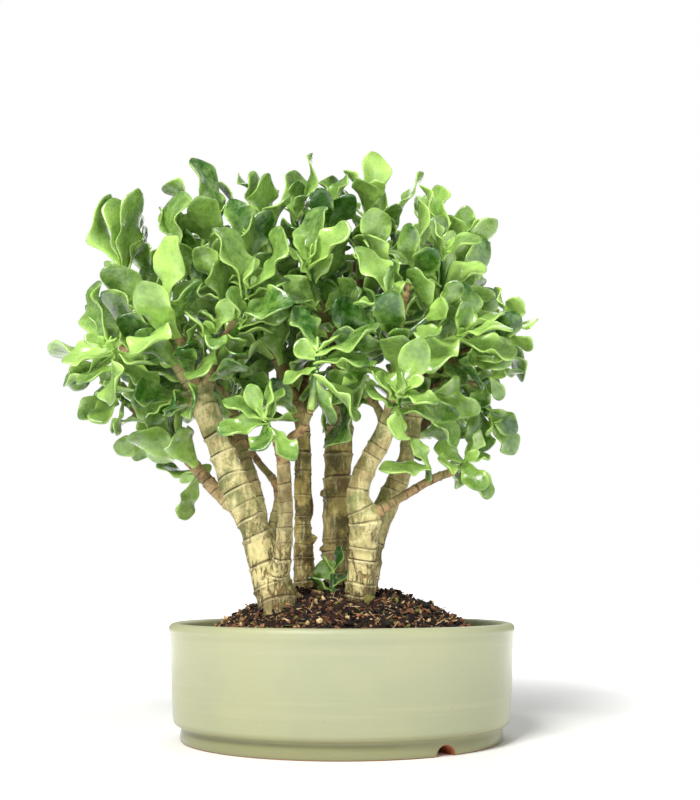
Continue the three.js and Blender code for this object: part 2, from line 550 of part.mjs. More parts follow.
// The profile runs from the middle of the underside out to the foot, up the wall and back in.
function potSolid() {
  const profile = [
    [0, FLOOR_UNDERSIDE], [FOOT_RADIUS - FOOT_RING - 1, FLOOR_UNDERSIDE], [FOOT_RADIUS - FOOT_RING, 0],
    [FOOT_RADIUS, 0], [FOOT_RADIUS - 1, FOOT_HEIGHT - 1.5], [FOOT_RADIUS + 3.6, FOOT_HEIGHT + 0.5],
    [rimRadius - 1.2, POT_HEIGHT - 12], [rimRadius - 0.8, POT_HEIGHT - 6], [rimRadius, POT_HEIGHT - 3.2],
    [rimRadius - 1.6, POT_HEIGHT - 0.6], [rimRadius - 4, POT_HEIGHT], [innerTop, WALL_HEAD],
    [innerBottom, WALL_FOOT], [innerBottom - 6, FLOOR_TOP], [0, FLOOR_TOP],
  ].map(([radius, height]) => new THREE.Vector2(radius, height));
  let pot = toSolid(latheShape(profile));
  for (const x of [-DRAIN_SPACING, 0, DRAIN_SPACING]) {
    const drill = new THREE.CylinderGeometry(DRAIN_HOLE / 2, DRAIN_HOLE / 2, 3 * FLOOR_TOP, 12);
    drill.rotateX(Math.PI / 2).translate(x, 0, 0);
    pot = pot.subtract(toSolid(drill));
  }
  for (const angle of [NOTCH_ANGLE, NOTCH_ANGLE + 180]) {
    const turn = THREE.MathUtils.degToRad(angle);
    const cutter = new THREE.CylinderGeometry(1, 1, 3 * FOOT_RING, 14);
    cutter.scale(NOTCH_WIDTH / 2, 1, NOTCH_HEIGHT).translate(0, FOOT_RADIUS, 0).rotateZ(turn - Math.PI / 2);
    cutter.scale(1, POT_DEPTH / POT_LENGTH, 1);
    pot = pot.subtract(toSolid(cutter));
  }
  return pot;
}

// Soil

function soilHeight(x, y) {
  const out = Math.hypot(x, y) / innerTop;
  const crumbs = Math.sin(x * 0.21 + 1) * Math.cos(y * 0.26) + 0.7 * Math.sin(x * 0.47 + y * 0.39);
  const mound = (SOIL_PEAK - SOIL_EDGE) * (1 - Math.pow(Math.min(out, 1), SOIL_SHOULDER));
  return SOIL_EDGE + mound + SOIL_ROUGHNESS * crumbs * (1 - out * out);
}

function soilSolid(standing) {
  const bottom = FLOOR_TOP + GAP;
  const up = (SOIL_EDGE - WALL_FOOT) / (WALL_HEAD - WALL_FOOT);
  const wallAtEdge = mix(innerBottom, innerTop, up);
  const profile = [[0, bottom], [innerBottom - 7, bottom], [innerBottom - 1, WALL_FOOT + 1]];
  for (const share of [1, 0.74, 0.4, 0]) {
    profile.push([(wallAtEdge - 0.6) * share, SOIL_EDGE]);
  }
  const lathe = latheShape(profile.map(([radius, height]) => new THREE.Vector2(radius, height)));
  const position = lathe.attributes.position;
  for (let i = 0; i < position.count; i += 1) {
    if (Math.abs(position.getZ(i) - SOIL_EDGE) < 0.01) {
      position.setZ(i, soilHeight(position.getX(i), position.getY(i)));
    }
  }
  return standing.reduce((soil, piece) => soil.subtract(piece), toSolid(lathe));
}

// The whole plant, one mesh for each piece.

const group = new THREE.Group();
group.position.setX(ORIGIN_X);

function addPiece(name, solid, material) {
  const body = largestBody(largestBody(solid).asOriginal().simplify(SEAM));
  const mesh = new THREE.Mesh(toGeometry(body), material);
  mesh.name = name;
  group.add(mesh);
}

const bark = {
  a: finish(0xc9c08c, 0.8),
  b: finish(0x8d8150, 0.85),
  c: finish(0x695f32, 0.85),
  d: finish(0xc4c08a, 0.8),
  e: finish(0xa9a473, 0.8),
};
const trunkNames = {
  a: 'trunk_front_left',
  b: 'trunk_inner',
  c: 'trunk_rear',
  d: 'trunk_front_right',
  e: 'trunk_right',
};
const clearances = {};
for (const [trunk, name] of Object.entries(trunkNames)) {
  clearances[trunk] = trunkSolid(limbs[trunk], GAP);
  addPiece(name, trunkSolid(limbs[trunk], 0), bark[trunk]);
}
const sproutHole = stemSolid(sprout.stem, GAP);
addPiece('pot', potSolid(), finish(0xc8cba4, 0.35));
addPiece('soil', soilSolid([...Object.values(clearances), sproutHole]), finish(0x4a3426, 1));

const leafGreen = finish(0x9ac479, 0.4);
const youngGreen = finish(0xb4dc82, 0.4);
for (const shoot of shoots) {
  const whole = shootSolid(shoot);
  if (shoot === sprout) {
    addPiece('sprout', whole, youngGreen);
  } else {
    const seated = Object.values(clearances).reduce((solid, trunk) => solid.subtract(trunk), whole);
    addPiece(`shoot_${shoot.name}`, seated, leafGreen);
  }
}

export default group;
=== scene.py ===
import math

import bmesh
import bpy
import numpy as np
from mathutils import Matrix, Vector, noise


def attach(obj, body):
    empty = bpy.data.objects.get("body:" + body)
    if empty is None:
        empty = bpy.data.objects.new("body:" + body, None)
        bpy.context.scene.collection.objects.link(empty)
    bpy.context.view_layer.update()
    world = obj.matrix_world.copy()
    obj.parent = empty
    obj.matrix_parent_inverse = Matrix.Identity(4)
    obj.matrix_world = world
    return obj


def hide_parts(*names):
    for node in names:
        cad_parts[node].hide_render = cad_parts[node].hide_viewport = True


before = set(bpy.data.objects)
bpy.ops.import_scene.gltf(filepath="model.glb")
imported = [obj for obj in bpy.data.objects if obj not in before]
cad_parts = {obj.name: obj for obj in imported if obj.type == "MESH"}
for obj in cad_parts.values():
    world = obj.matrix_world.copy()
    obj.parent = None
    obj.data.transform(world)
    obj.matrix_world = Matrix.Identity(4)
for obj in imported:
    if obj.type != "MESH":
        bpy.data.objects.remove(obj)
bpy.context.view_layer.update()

# Studio
# The plant stands on a wide pale floor in front of white paper. From about 0.14 m out from its
# middle the floor glows, fully white from 0.6 m: painted light that washes out its far shading and
# the far part of the plant's shadow. One large soft lamp stands high at the front left, a weaker
# one at the right and one behind.

MM = 0.001
ORIGIN = np.array([25.6, 0.0, 0.0])     # of the pot's middle, in mm
CAMERA_PLACE = (4.7, -541.0, 88.0)      # mm from the middle of the pot's foot
CAMERA_PITCH = 11.3                     # degrees above level
FOCAL_PIXELS = 900
FRAME_HEIGHT = 800
SENSOR = 36.0
LAMPS = {                               # place, aim, size, watts and colour
    "key": ((-0.45, -1.0, 1.25), (0.02, 0, 0.22), 0.45, 28, (1, 0.985, 0.96)),
    "fill": ((1.1, -0.8, 0.55), (0.02, 0, 0.2), 1.0, 4, (1, 1, 1)),
    "rim": ((0.2, 1.1, 1.0), (0.02, 0, 0.22), 0.9, 5, (1, 1, 1)),
}
PAPER_LIGHT = 0.28                      # on the plant, where the camera sees the paper at 1
FLOOR_RADIUS = 14.0

scene = bpy.context.scene
scene.view_settings.view_transform = "Standard"


def show(name, data):
    """Adds data to the scene as an object at the origin."""
    thing = bpy.data.objects.new(name, data)
    scene.collection.objects.link(thing)
    return thing


def metres(place):
    """A place in mm from the middle of the pot's foot, as the frame has it."""
    return Vector((np.asarray(place) + ORIGIN) * MM)


camera = show("camera", bpy.data.cameras.new("camera"))
camera.data.sensor_width = SENSOR
camera.data.lens = SENSOR * FOCAL_PIXELS / FRAME_HEIGHT
camera.location = metres(CAMERA_PLACE)
camera.rotation_euler = (math.radians(90 + CAMERA_PITCH), 0, 0)
scene.camera = camera
for name, (place, aim, size, watts, color) in LAMPS.items():
    lamp = show(name, bpy.data.lights.new(name, "AREA"))
    lamp.data.size, lamp.data.energy, lamp.data.color = size, watts, color
    lamp.location = place
    lamp.rotation_euler = (Vector(aim) - Vector(place)).to_track_quat("-Z", "Y").to_euler()
scene.world = bpy.data.worlds.new("world")
scene.world.use_nodes = True
paper_tree = scene.world.node_tree
paper = paper_tree.nodes["Background"]
paper.inputs["Color"].default_value = (1, 1, 1, 1)
paper_level = paper_tree.nodes.new("ShaderNodeMapRange")
paper_level.inputs["To Min"].default_value = PAPER_LIGHT
ray = paper_tree.nodes.new("ShaderNodeLightPath")
paper_tree.links.new(ray.outputs["Is Camera Ray"], paper_level.inputs["Value"])
paper_tree.links.new(paper_level.outputs["Result"], paper.inputs["Strength"])


class Channel:
    """A shader socket that can be used in a sum, so that an expression adds its Math nodes."""

    def __init__(self, paint, socket):
        self.paint, self.socket = paint, socket

    def math(self, operation, *values):
        return self.paint.add("Math", dict(enumerate(values)), operation=operation)

    def __add__(self, other):
        return self.math("ADD", self, other)

    def __sub__(self, other):
        return self.math("SUBTRACT", self, other)

    def __mul__(self, other):
        return self.math("MULTIPLY", self, other)

    def __truediv__(self, other):
        return self.math("DIVIDE", self, other)

    def __pow__(self, other):
        return self.math("POWER", self, other)

    def __radd__(self, other):
        return self.math("ADD", other, self)

    def __rsub__(self, other):
        return self.math("SUBTRACT", other, self)

    def __rmul__(self, other):
        return self.math("MULTIPLY", other, self)

    def __rtruediv__(self, other):
        return self.math("DIVIDE", other, self)

    def __abs__(self):
        return self.math("ABSOLUTE", self)

    def fraction(self):
        return self.math("FRACT", self)

    def least(self, other):
        return self.math("MINIMUM", self, other)

    def most(self, other):
        return self.math("MAXIMUM", self, other)

    def ramp(self, low, high):
        """0 below low, 1 above high, and smooth between them. It falls when low is the larger."""
        inputs = {"Value": self, "From Min": low, "From Max": high}
        return self.paint.add("MapRange", inputs, interpolation_type="SMOOTHSTEP")


class Paint:
    """One material, and the method that adds any node to it."""

    def __init__(self, name, **constants):
        self.material = bpy.data.materials.new(name)
        self.material.use_nodes = True
        self.shader = self.material.node_tree.nodes["Principled BSDF"]
        self.set(**constants)

    def add(self, kind, inputs=None, output=0, **settings):
        """Adds a node, makes its settings, joins or sets its sockets and returns an output."""
        node = self.material.node_tree.nodes.new("ShaderNode" + kind)
        for name, value in settings.items():
            setattr(node, name, value)
        for socket, value in (inputs or {}).items():
            self.join(value, node.inputs[socket])
        return Channel(self, node.outputs[output])

    def join(self, value, socket):
        if isinstance(value, Channel):
            self.material.node_tree.links.new(value.socket, socket)
        else:
            socket.default_value = value

    def set(self, **channels):
        for socket, value in channels.items():
            self.join(value, self.shader.inputs[socket.replace("_", " ")])

    def mix(self, share, first, second):
        """first where share is 0, and second where it is 1."""
        return self.add("Mix", {0: share, 6: first, 7: second}, 2, data_type="RGBA")

    def over(self, color, *coats):
        """A colour under coats of (share, red, green, blue), laid on one after the other."""
        for share, *coat in coats:
            color = self.mix(share, color, tint(*coat))
        return color

    def place(self, upright=1):
        """The place on the piece, with its height times upright."""
        place = self.add("TexCoord", output="Object")
        if upright == 1:
            return place
        return self.add("Mapping", {"Vector": place, "Scale": (1, 1, upright)})

    def axis(self, name):
        return self.add("SeparateXYZ", {"Vector": self.place()}, name)

    def noise(self, scale, detail=3, rough=0.55, upright=1):
        inputs = {"Vector": self.place(upright), "Scale": scale, "Detail": detail, "Roughness": rough}
        return self.add("TexNoise", inputs)

    def cells(self, scale, upright=1, **settings):
        inputs = {"Vector": self.place(upright), "Scale": scale}
        return self.add("TexVoronoi", inputs, "Distance", **settings)

    def given(self, name):
        """A number that the mesh carries at each of its points."""
        return self.add("Attribute", output="Fac", attribute_name=name)

    def raise_by(self, height, depth):
        """Bumps the surface: height runs from 0 to 1 and depth is in metres."""
        self.set(Normal=self.add("Bump", {"Height": height, "Strength": 1.0, "Distance": depth}))


def tint(red, green, blue):
    """A colour as a screen shows it, 0 to 255, made linear."""
    return tuple(((c / 255 + 0.055) / 1.055) ** 2.4 for c in (red, green, blue)) + (1.0,)


def to_mesh(bm, name):
    mesh = bpy.data.meshes.new(name)
    bm.to_mesh(mesh)
    bm.free()
    return mesh


bm = bmesh.new()
bmesh.ops.create_circle(bm, cap_ends=True, segments=96, radius=FLOOR_RADIUS)
floor = show("floor", to_mesh(bm, "floor"))
floor_paint = Paint("floor_paper", Roughness=0.9, Emission_Strength=1.0)
# Painted light: the floor glows white from about 0.14 m out from its middle, fully from 0.6 m.
far = floor_paint.add("VectorMath", {0: floor_paint.place()}, "Value", operation="LENGTH")
floor_paint.set(Base_Color=floor_paint.over(tint(250, 250, 249), (floor_paint.noise(3), 246, 246, 245)),
                Emission_Color=floor_paint.mix(far.ramp(0.14, 0.6), (0, 0, 0, 1), (1, 1, 1, 1)))
floor.data.materials.append(floor_paint.material)

# Pot
# A low oval stoneware pot, thrown and pressed oval, with a rounded lip, a foot ring set in
# under a groove, two water notches in the foot and three drain holes. It is dipped in a pale
# celadon glaze that runs thin on the edges; the foot's underside and the notches stay bare clay.

POT_LENGTH = 200.0
POT_DEPTH = 156.0
POT_HEIGHT = 64.0
POT_WALL = 7.0
FOOT_HEIGHT = 9.0
FOOT_RADIUS = 91.3
FOOT_RING = 10.0
FLOOR_UNDERSIDE = 4.0
FLOOR_TOP = 12.0
FLAT_RADIUS = 40.0                      # of the flat middle of the floor
WALL_FOOT = 17.0
WALL_HEAD = 61.5
INNER_TAPER = 6.0
NOTCH_ANGLE = -54.0
NOTCH_WIDTH = 12.5
NOTCH_HEIGHT = 5.5
DRAIN_HOLE = 12.0
DRAIN_SPACING = 46.0
POT_STEPS = 160
OVAL = POT_LENGTH / POT_DEPTH

rim_radius = POT_LENGTH / 2
inner_top = rim_radius - POT_WALL
inner_bottom = inner_top - INNER_TAPER


def stepped(radius, height, *steps):
    """Points of the outline, each given as a step out and up from a radius and a height."""
    return [(radius + out, height + up) for out, up in steps]


POT_OUTLINE = [
    (0, FLOOR_UNDERSIDE), (FLAT_RADIUS, FLOOR_UNDERSIDE),
    *stepped(FOOT_RADIUS - FOOT_RING, 0, (-1.2, FLOOR_UNDERSIDE), (-0.4, 3.2), (0, 0.4), (0.6, 0)),
    *stepped(FOOT_RADIUS, 0, (-1, 0), (-0.1, 0.7), (0, 2.2)),
    *stepped(FOOT_RADIUS, FOOT_HEIGHT, (-0.3, -3), (-0.8, -1.4), (-0.5, -0.5), (1.2, -0.1), (3, 0.3),
             (3.9, 1.2), (4.4, 3.5)),
    *stepped(rim_radius, 0, (-2.9, 28), (-1.9, 42)),
    *stepped(rim_radius, POT_HEIGHT, (-1.2, -12), (-0.95, -9), (-0.75, -7), (-0.3, -5.4),
             (-0.05, -3.6), (-0.3, -1.9), (-1.4, -0.6), (-3.2, 0)),
    *stepped(inner_top, POT_HEIGHT, (1.6, -0.3), (0.3, -1.4)), (inner_top, WALL_HEAD),
    (inner_bottom + 2.8, 40), (inner_bottom, WALL_FOOT),
    *stepped(inner_bottom, FLOOR_TOP, (-1.4, 1.8), (-5, 0)), (FLAT_RADIUS, FLOOR_TOP), (0, FLOOR_TOP),
]


def take_mesh(thing):
    """The mesh of an object with its modifiers done. The object is then thrown away."""
    finished = thing.evaluated_get(bpy.context.evaluated_depsgraph_get())
    mesh = bpy.data.meshes.new_from_object(finished)
    bpy.data.objects.remove(thing)
    return mesh


def dress(name, mesh, paints, slot, nodes=()):
    """Shows a finished mesh as a piece of the plant, in place of the nodes."""
    piece = show(name, mesh)
    mesh.materials.clear()
    for paint in paints:
        mesh.materials.append(paint.material)
    mesh.polygons.foreach_set("use_smooth", [True] * len(mesh.polygons))
    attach(piece, "root")
    if nodes:
        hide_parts(*nodes)


bm = bmesh.new()
edge = [bm.verts.new((radius * MM, 0, height * MM)) for radius, height in POT_OUTLINE]
wall = [bm.edges.new(pair) for pair in zip(edge, edge[1:])]
bmesh.ops.spin(bm, geom=edge + wall, cent=(0, 0, 0), axis=(0, 0, 1), angle=2 * math.pi,
               steps=POT_STEPS, use_merge=True)
bmesh.ops.remove_doubles(bm, verts=bm.verts, dist=1e-6)
bmesh.ops.recalc_face_normals(bm, faces=bm.faces)
pot_shape = show("pot_shape", to_mesh(bm, "pot_shape"))

bm = bmesh.new()
for x in (-DRAIN_SPACING, 0, DRAIN_SPACING):
    bmesh.ops.create_cone(bm, cap_ends=True, segments=32, radius1=DRAIN_HOLE / 2 * MM,
                          radius2=DRAIN_HOLE / 2 * MM, depth=3 * FLOOR_TOP * MM,
                          matrix=Matrix.Translation((x * MM, 0, 0)) @ Matrix.Scale(OVAL, 4, (0, 1, 0)))
for angle in (NOTCH_ANGLE, NOTCH_ANGLE + 180):
    turn = Matrix.Rotation(math.radians(angle), 4, "Z") @ Matrix.Translation((FOOT_RADIUS * MM, 0, 0))
    across = Matrix.Scale(NOTCH_WIDTH / 2, 4, (0, 1, 0)) @ Matrix.Scale(NOTCH_HEIGHT, 4, (0, 0, 1))
    bmesh.ops.create_cone(bm, cap_ends=True, segments=40, radius1=MM, radius2=MM,
                          depth=3 * FOOT_RING * MM,
                          matrix=turn @ across @ Matrix.Rotation(math.radians(90), 4, "Y"))
cutter = show("pot_cutter", to_mesh(bm, "pot_cutter"))
cut = pot_shape.modifiers.new("notches", "BOOLEAN")
cut.operation, cut.solver, cut.object = "DIFFERENCE", "EXACT", cutter
pot_mesh = take_mesh(pot_shape)
bpy.data.objects.remove(cutter)
pressed_oval = Matrix.Scale(POT_DEPTH / POT_LENGTH, 4, (0, 1, 0))
pot_mesh.transform(Matrix.Translation(Vector(ORIGIN) * MM) @ pressed_oval)

glaze = Paint("celadon_glaze", Coat_Roughness=0.12)
height = glaze.axis("Z")
streaks = glaze.noise(9, 4, upright=26)
# Painted shade under the wall's overhang: the glaze is painted darker and more olive over the groove
# and the wall's underside above the foot, and on the foot ring below it.
foot_painted_shade = height.ramp(0.0125, 0.0095) * height.ramp(0.0072, 0.0088)
glazed = glaze.over(
    tint(172, 174, 134), (glaze.noise(16).ramp(0.35, 0.7), 164, 168, 135),
    (streaks.ramp(0.5, 0.72) * 0.35, 183, 181, 144), (foot_painted_shade * 0.55, 140, 134, 84),
    (height.ramp(0.009, 0.007) * 0.85, 136, 136, 94),
    (glaze.noise(420, 2).ramp(0.68, 0.76) * 0.25, 150, 138, 88))
clay = glaze.over(tint(172, 98, 56), (glaze.noise(260), 150, 82, 46))
downward = glaze.add("SeparateXYZ", {"Vector": glaze.add("NewGeometry", output="Normal")}, "Z")
sideways = glaze.axis("X") - ORIGIN[0] * MM
backwards = glaze.axis("Y") * OVAL
notch_turn = math.radians(NOTCH_ANGLE)
beside = backwards * math.cos(notch_turn) - sideways * math.sin(notch_turn)
in_notch = (beside / (NOTCH_WIDTH / 2 * MM)) ** 2 + (height / (NOTCH_HEIGHT * MM)) ** 2
bare = downward.ramp(-0.55, -0.8) * height.ramp(0.008, 0.0065)
bare = bare.most(in_notch.ramp(1.08, 1.02))
lip = height.ramp(0.0595, 0.0615)
glaze.set(Base_Color=glaze.mix(bare, glazed, clay),
          Roughness=glaze.noise(60) * 0.12 + 0.26 + bare * 0.5 + lip * 0.14,
          Coat_Weight=(1 - bare) * (1 - lip) * 0.35)
glaze.raise_by(streaks * 0.6 + glaze.noise(180) * 0.4, 0.00025)
dress("pot_glazed", pot_mesh, [glaze], "pot_glaze", ["pot"])

# Trunks
# Five woody stems, grey-green and tan where they are old, red-brown where they are young. They
# have no milled shape: each grew in a slow curve, thickest at its foot. Rings are the scars of
# fallen leaves, and near the soil the old skin splits and peels off in cream and ochre flakes.

# Each limb by its trunk's letter and its own name: places along it and its radius there, in mm.
LIMBS = {
    "a.main": [[-29, -34, 51, 11], [-34, -32, 70, 11.3], [-39, -30, 88, 11], [-43, -30, 101, 9.8],
        [-50, -30, 118, 8.7], [-59, -30, 137, 8.1], [-69, -32, 161, 7.6], [-76, -35, 179, 7],
        [-80, -36, 192, 6.4]],
    "a.left": [[-80, -36, 188, 5.1], [-92, -38, 206, 4.3], [-104, -36, 226, 3.2],
        [-120, -25, 252, 2.4]],
    "a.mid": [[-84, -37, 195, 3.5], [-87, -44, 210, 3.1], [-95, -50, 229, 2.5]],
    "a.right": [[-79, -35, 188, 4.6], [-76, -37, 203, 4.2], [-67, -44, 221, 3.4],
        [-60, -48, 233, 2.7]],
    "a.low": [[-57, -30, 127, 5], [-68, -28, 134, 4], [-87, -24, 155, 3.6], [-109, -20, 177, 3.4],
        [-124, -20, 188, 2.5]],
    "a.pale": [[-79, -38, 186, 2.9], [-88, -46, 187, 3.1], [-106, -48, 192, 2.8],
        [-123, -46, 207, 2.4]],
    "a.second": [[-36, -34, 88, 6.6], [-32, -42, 101, 4.7], [-31, -43, 125, 4.4],
        [-32, -44, 148, 4.1], [-33, -46, 159, 3.7]],
    "a.second_left": [[-33, -46, 155, 3.3], [-35, -56, 161, 2.5], [-36, -62, 163, 2.2]],
    "a.second_right": [[-33, -46, 153, 3.3], [-28, -54, 164, 2.5], [-21, -64, 167, 2.2],
        [-16, -75, 176, 2.1]],
    "a.third": [[-46, -22, 110, 4.8], [-50, -8, 134, 4.4], [-60, 2, 164, 3.7], [-70, 12, 195, 3.3],
        [-84, 28, 235, 2.8], [-92, 42, 266, 2.5], [-96, 50, 290, 2.3]],
    "a.fourth": [[-41, -26, 96, 4], [-41, -9, 117, 2.7], [-39, 0, 142, 2.5], [-53, 12, 161, 2.4],
        [-66, 26, 185, 2.4], [-75, 42, 215, 2.3], [-85, 58, 243, 2.2]],
    "a.rear_low": [[-57, 0, 158, 3.3], [-95, 22, 200, 2.8], [-130, 34, 228, 2.5],
        [-148, 40, 240, 2.3]],
    "a.rear_high": [[-69, 11, 192, 3.1], [-95, 32, 235, 2.7], [-118, 45, 270, 2.4],
        [-128, 50, 284, 2.2]],
    "b.main": [[-21, 8, 47, 8.3], [-21, 8, 70, 8.1], [-23, 8, 100, 6], [-24, 8, 128, 5.4],
        [-24, 8, 160, 4.9], [-25, 8, 182, 4.6], [-34, 4, 208, 4], [-46, -4, 232, 3.4],
        [-51, -8, 243, 3]],
    "b.fan": [[-50, -7, 240, 2.9], [-58, -10, 262, 2.6], [-66, -13, 281, 2.3]],
    "b.arch": [[-45, -3, 231, 2.8], [-50, -12, 251, 2.5], [-54, -17, 267, 2.3]],
    "b.back": [[-24, 8, 178, 4], [-25, 18, 210, 3.6], [-29, 28, 242, 3.2], [-32, 28, 283, 2.5]],
    "b.fold": [[-30, 28, 257, 2.9], [-38, 18, 276, 2.5], [-46, 8, 292, 2.3]],
    "b.rear": [[-27, 24, 232, 2.9], [-40, 42, 264, 2.6], [-52, 54, 295, 2.3]],
    "b.rear_low": [[-25, 16, 206, 3], [-38, 45, 236, 2.6], [-46, 64, 252, 2.3]],
    "b.stub": [[-23, 11, 122, 1.8], [-19, 16, 129, 1.5], [-20, 15, 141, 1.1]],
    "c.main": [[-2, 28, 46, 10.4], [-2, 28, 80, 10], [-3, 28, 110, 9.8], [-3, 28, 150, 9.2],
        [-2, 28, 190, 8.9], [0, 27, 216, 8], [1, 25, 236, 6.6]],
    "c.left": [[0, 26, 217, 5.6], [-7, 18, 238, 4.6], [-11, 8, 262, 3.6], [-13, 0, 286, 2.7]],
    "c.mid": [[1, 25, 230, 5.4], [6, 22, 258, 4.2], [10, 14, 286, 3.3], [12, 8, 303, 2.7]],
    "c.right": [[1, 27, 230, 4.6], [9, 40, 255, 3.9], [20, 52, 291, 2.9]],
    "c.front": [[-1, 24, 222, 4.4], [-6, -5, 236, 3.4], [-14, -35, 248, 2.6]],
    "c.rear": [[-1, 28, 226, 4], [-7, 43, 262, 3], [-14, 55, 295, 2.4]],
    "c.rear_low": [[5, 34, 243, 3.4], [4, 52, 244, 2.9], [3, 68, 249, 2.5]],
    "d.main": [[10, -29, 54, 8.8], [10, -30, 79, 8.3], [12, -33, 104, 8], [13, -37, 120, 8.6],
        [9, -38, 134, 6.4], [13, -39, 148, 6.2], [23, -42, 167, 5.9], [28, -48, 182, 4.5],
        [30, -56, 199, 3.6], [29, -66, 222, 2.7]],
    "d.crest": [[30, -62, 214, 2.8], [34, -62, 236, 2.6], [37, -60, 250, 2.4]],
    "d.twig": [[25, -43, 170, 2.9], [20, -41, 184, 2.3], [14, -40, 190, 2.1]],
    "d.right": [[13, -38, 121, 4.6], [23, -38, 127, 3], [38, -37, 136, 2.6], [52, -35, 144, 2.5],
        [65, -30, 149, 2.4]],
    "e.main": [[12, 6, 46, 9.1], [12, 6, 76, 8.8], [18, 9, 112, 8.1], [30, 16, 139, 7.3],
        [39, 14, 160, 5.9], [44, 9, 187, 5.2], [48, 0, 208, 4.3], [56, -10, 229, 3.5],
        [63, -15, 244, 2.9]],
    "e.right": [[45, 7, 192, 3.8], [54, 2, 202, 3.1], [68, -3, 207, 2.6], [81, -5, 204, 2.4]],
    "e.up": [[47, 3, 201, 3.8], [48, 10, 227, 3.4], [46, 14, 252, 3], [37, 16, 289, 2.5]],
    "e.tall": [[61, -13, 239, 2.8], [68, -6, 262, 2.5], [73, 2, 282, 2.3]],
    "e.front": [[49, -2, 211, 3.2], [58, -24, 216, 2.7], [64, -42, 219, 2.4]],
    "e.far": [[49, -2, 210, 3.4], [66, -3, 220, 2.9], [84, -3, 229, 2.6], [96, -3, 236, 2.3]],
    "e.rear_up": [[48, 10, 226, 3], [54, 36, 266, 2.6], [60, 50, 292, 2.3]],
    "e.rear": [[45, 8, 190, 3.6], [66, 26, 220, 2.9], [88, 44, 245, 2.4]],
    "e.rear_low": [[41, 12, 170, 3.6], [54, 32, 188, 2.9], [64, 48, 199, 2.4]],
}
# Short dead knobs that only the scene has, where a twig broke off long ago.
KNOBS = {
    "b": [[[-21, 7, 111, 3.4], [-17.6, 6, 112, 2.9], [-15.6, 6, 114, 1.9]]],
    "c": [[[-8, 26, 140, 3.4], [-11.8, 25, 141, 2.8], [-14, 25, 141.5, 1.9]],
          [[-8, 26, 106, 3.4], [-12.4, 25, 107, 2.7], [-14.8, 25, 107.5, 1.7]]],
    "d": [[[9, -37, 128, 3.2], [5, -38, 130, 2.6], [3.6, -38, 131.5, 1.8]]],
}
VOXEL = 0.75
RING_DEPTH = 0.75
LIMB_SIDES = 20
SKIN_REACH = 16                         # mm from a limb's middle where it may own the skin
CHUNK = 4000                            # points of skin that are measured at a time
LIMB_OFFSET = 40                        # more rings than any limb has
OLD_LOOK = {"a.pale": 2.2}              # mm that a limb looks thicker, and so older, than it is


def unit(vector):
    return vector / math.sqrt(vector @ vector)


class Run:
    """A curve with a radius along it. Its ends are at 0 and 1."""

    def along(self, t):
        before, after = max(t - 0.0001, 0), min(t + 0.0001, 1)
        return unit(self.at(after) - self.at(before))

    def measure(self):
        dots = [self.at(i / 200) for i in range(201)]
        return sum(math.dist(one, other) for one, other in zip(dots, dots[1:]))


class Limb(Run):
    """A smooth curve through each of its places."""

    def __init__(self, rows):
        self.places = [np.array(row[:3], float) for row in rows]
        self.radii = [row[3] for row in rows]
        self.length = self.measure()

    def find(self, t):
        """The place before t, and the share of the way from it to the next."""
        last = len(self.radii) - 1
        start = min(int(t * last), last - 1)
        return start, t * last - start

    def radius(self, t):
        start, share = self.find(t)
        return (1 - share) * self.radii[start] + share * self.radii[start + 1]

    def at(self, t):
        places, (start, share) = self.places, self.find(t)
        one, two = places[start:start + 2]
        before = places[start - 1] if start > 0 else 2 * one - two
        after = places[start + 2] if start + 2 < len(places) else 2 * two - one
        leave, arrive = 0.5 * (two - before), 0.5 * (after - one)
        return (one + leave * share + (3 * (two - one) - 2 * leave - arrive) * share ** 2
                + (2 * (one - two) + leave + arrive) * share ** 3)


def tube(bm, run, sides, steps, radius_at):
    """Bends a grid round a run as a closed tube."""
    made = bmesh.ops.create_grid(bm, x_segments=sides, y_segments=steps, size=1)["verts"]
    chord = unit(run.at(1) - run.at(0))
    reference = np.array([0, 1.0, 0]) if abs(chord[1]) < 0.8 else np.array([1.0, 0, 0])
    rings = {}
    for vert in made:
        step = round((vert.co.y + 1) / 2 * steps)
        if step not in rings:
            t = step / steps
            tangent = run.along(t)
            across = unit(reference - tangent * (reference @ tangent))
            rings[step] = (run.at(t), across, np.cross(across, tangent), radius_at(t))
        middle, across, sideways, radius = rings[step]
        turn = math.pi * vert.co.x
        vert.co = metres(middle + (across * math.cos(turn) + sideways * math.sin(turn)) * radius)
    bmesh.ops.remove_doubles(bm, verts=made, dist=1e-7)
    made = [vert for vert in made if vert.is_valid]
    open_edges = [e for e in bm.edges if e.is_boundary and e.verts[0] in set(made)]
    bmesh.ops.holes_fill(bm, edges=open_edges, sides=0)
    return made


limbs = {name: Limb(rows) for name, rows in LIMBS.items()}
rng = np.random.default_rng(71)


def limbs_of(trunk):
    return {name: limb for name, limb in limbs.items() if name[0] == trunk}


def ring_places(length, radius):
    """Where the leaf scars are along a limb, closer together on a thin one."""
    marks = [-4.0]
    while marks[-1] < length + 14:
        marks.append(marks[-1] + rng.uniform(0.55, 1.5) * (5.0 + 0.75 * radius))
    return np.array(marks)


def drop_specks(mesh):
    """Keeps what hangs together with the foot: remeshing can leave a speck inside the wood."""
    bm = bmesh.new()
    bm.from_mesh(mesh)
    front = {min(bm.verts, key=lambda vert: vert.co.z)}
    joined = set(front)
    while front:
        front = {edge.other_vert(vert) for vert in front for edge in vert.link_edges} - joined
        joined |= front
    bmesh.ops.delete(bm, geom=[vert for vert in bm.verts if vert not in joined], context="VERTS")
    bm.to_mesh(mesh)
    bm.free()


def read(points, name):
    """A place or direction at each point of a mesh."""
    values = np.empty(len(points) * 3)
    points.foreach_get(name, values)
    return values.reshape(-1, 3)


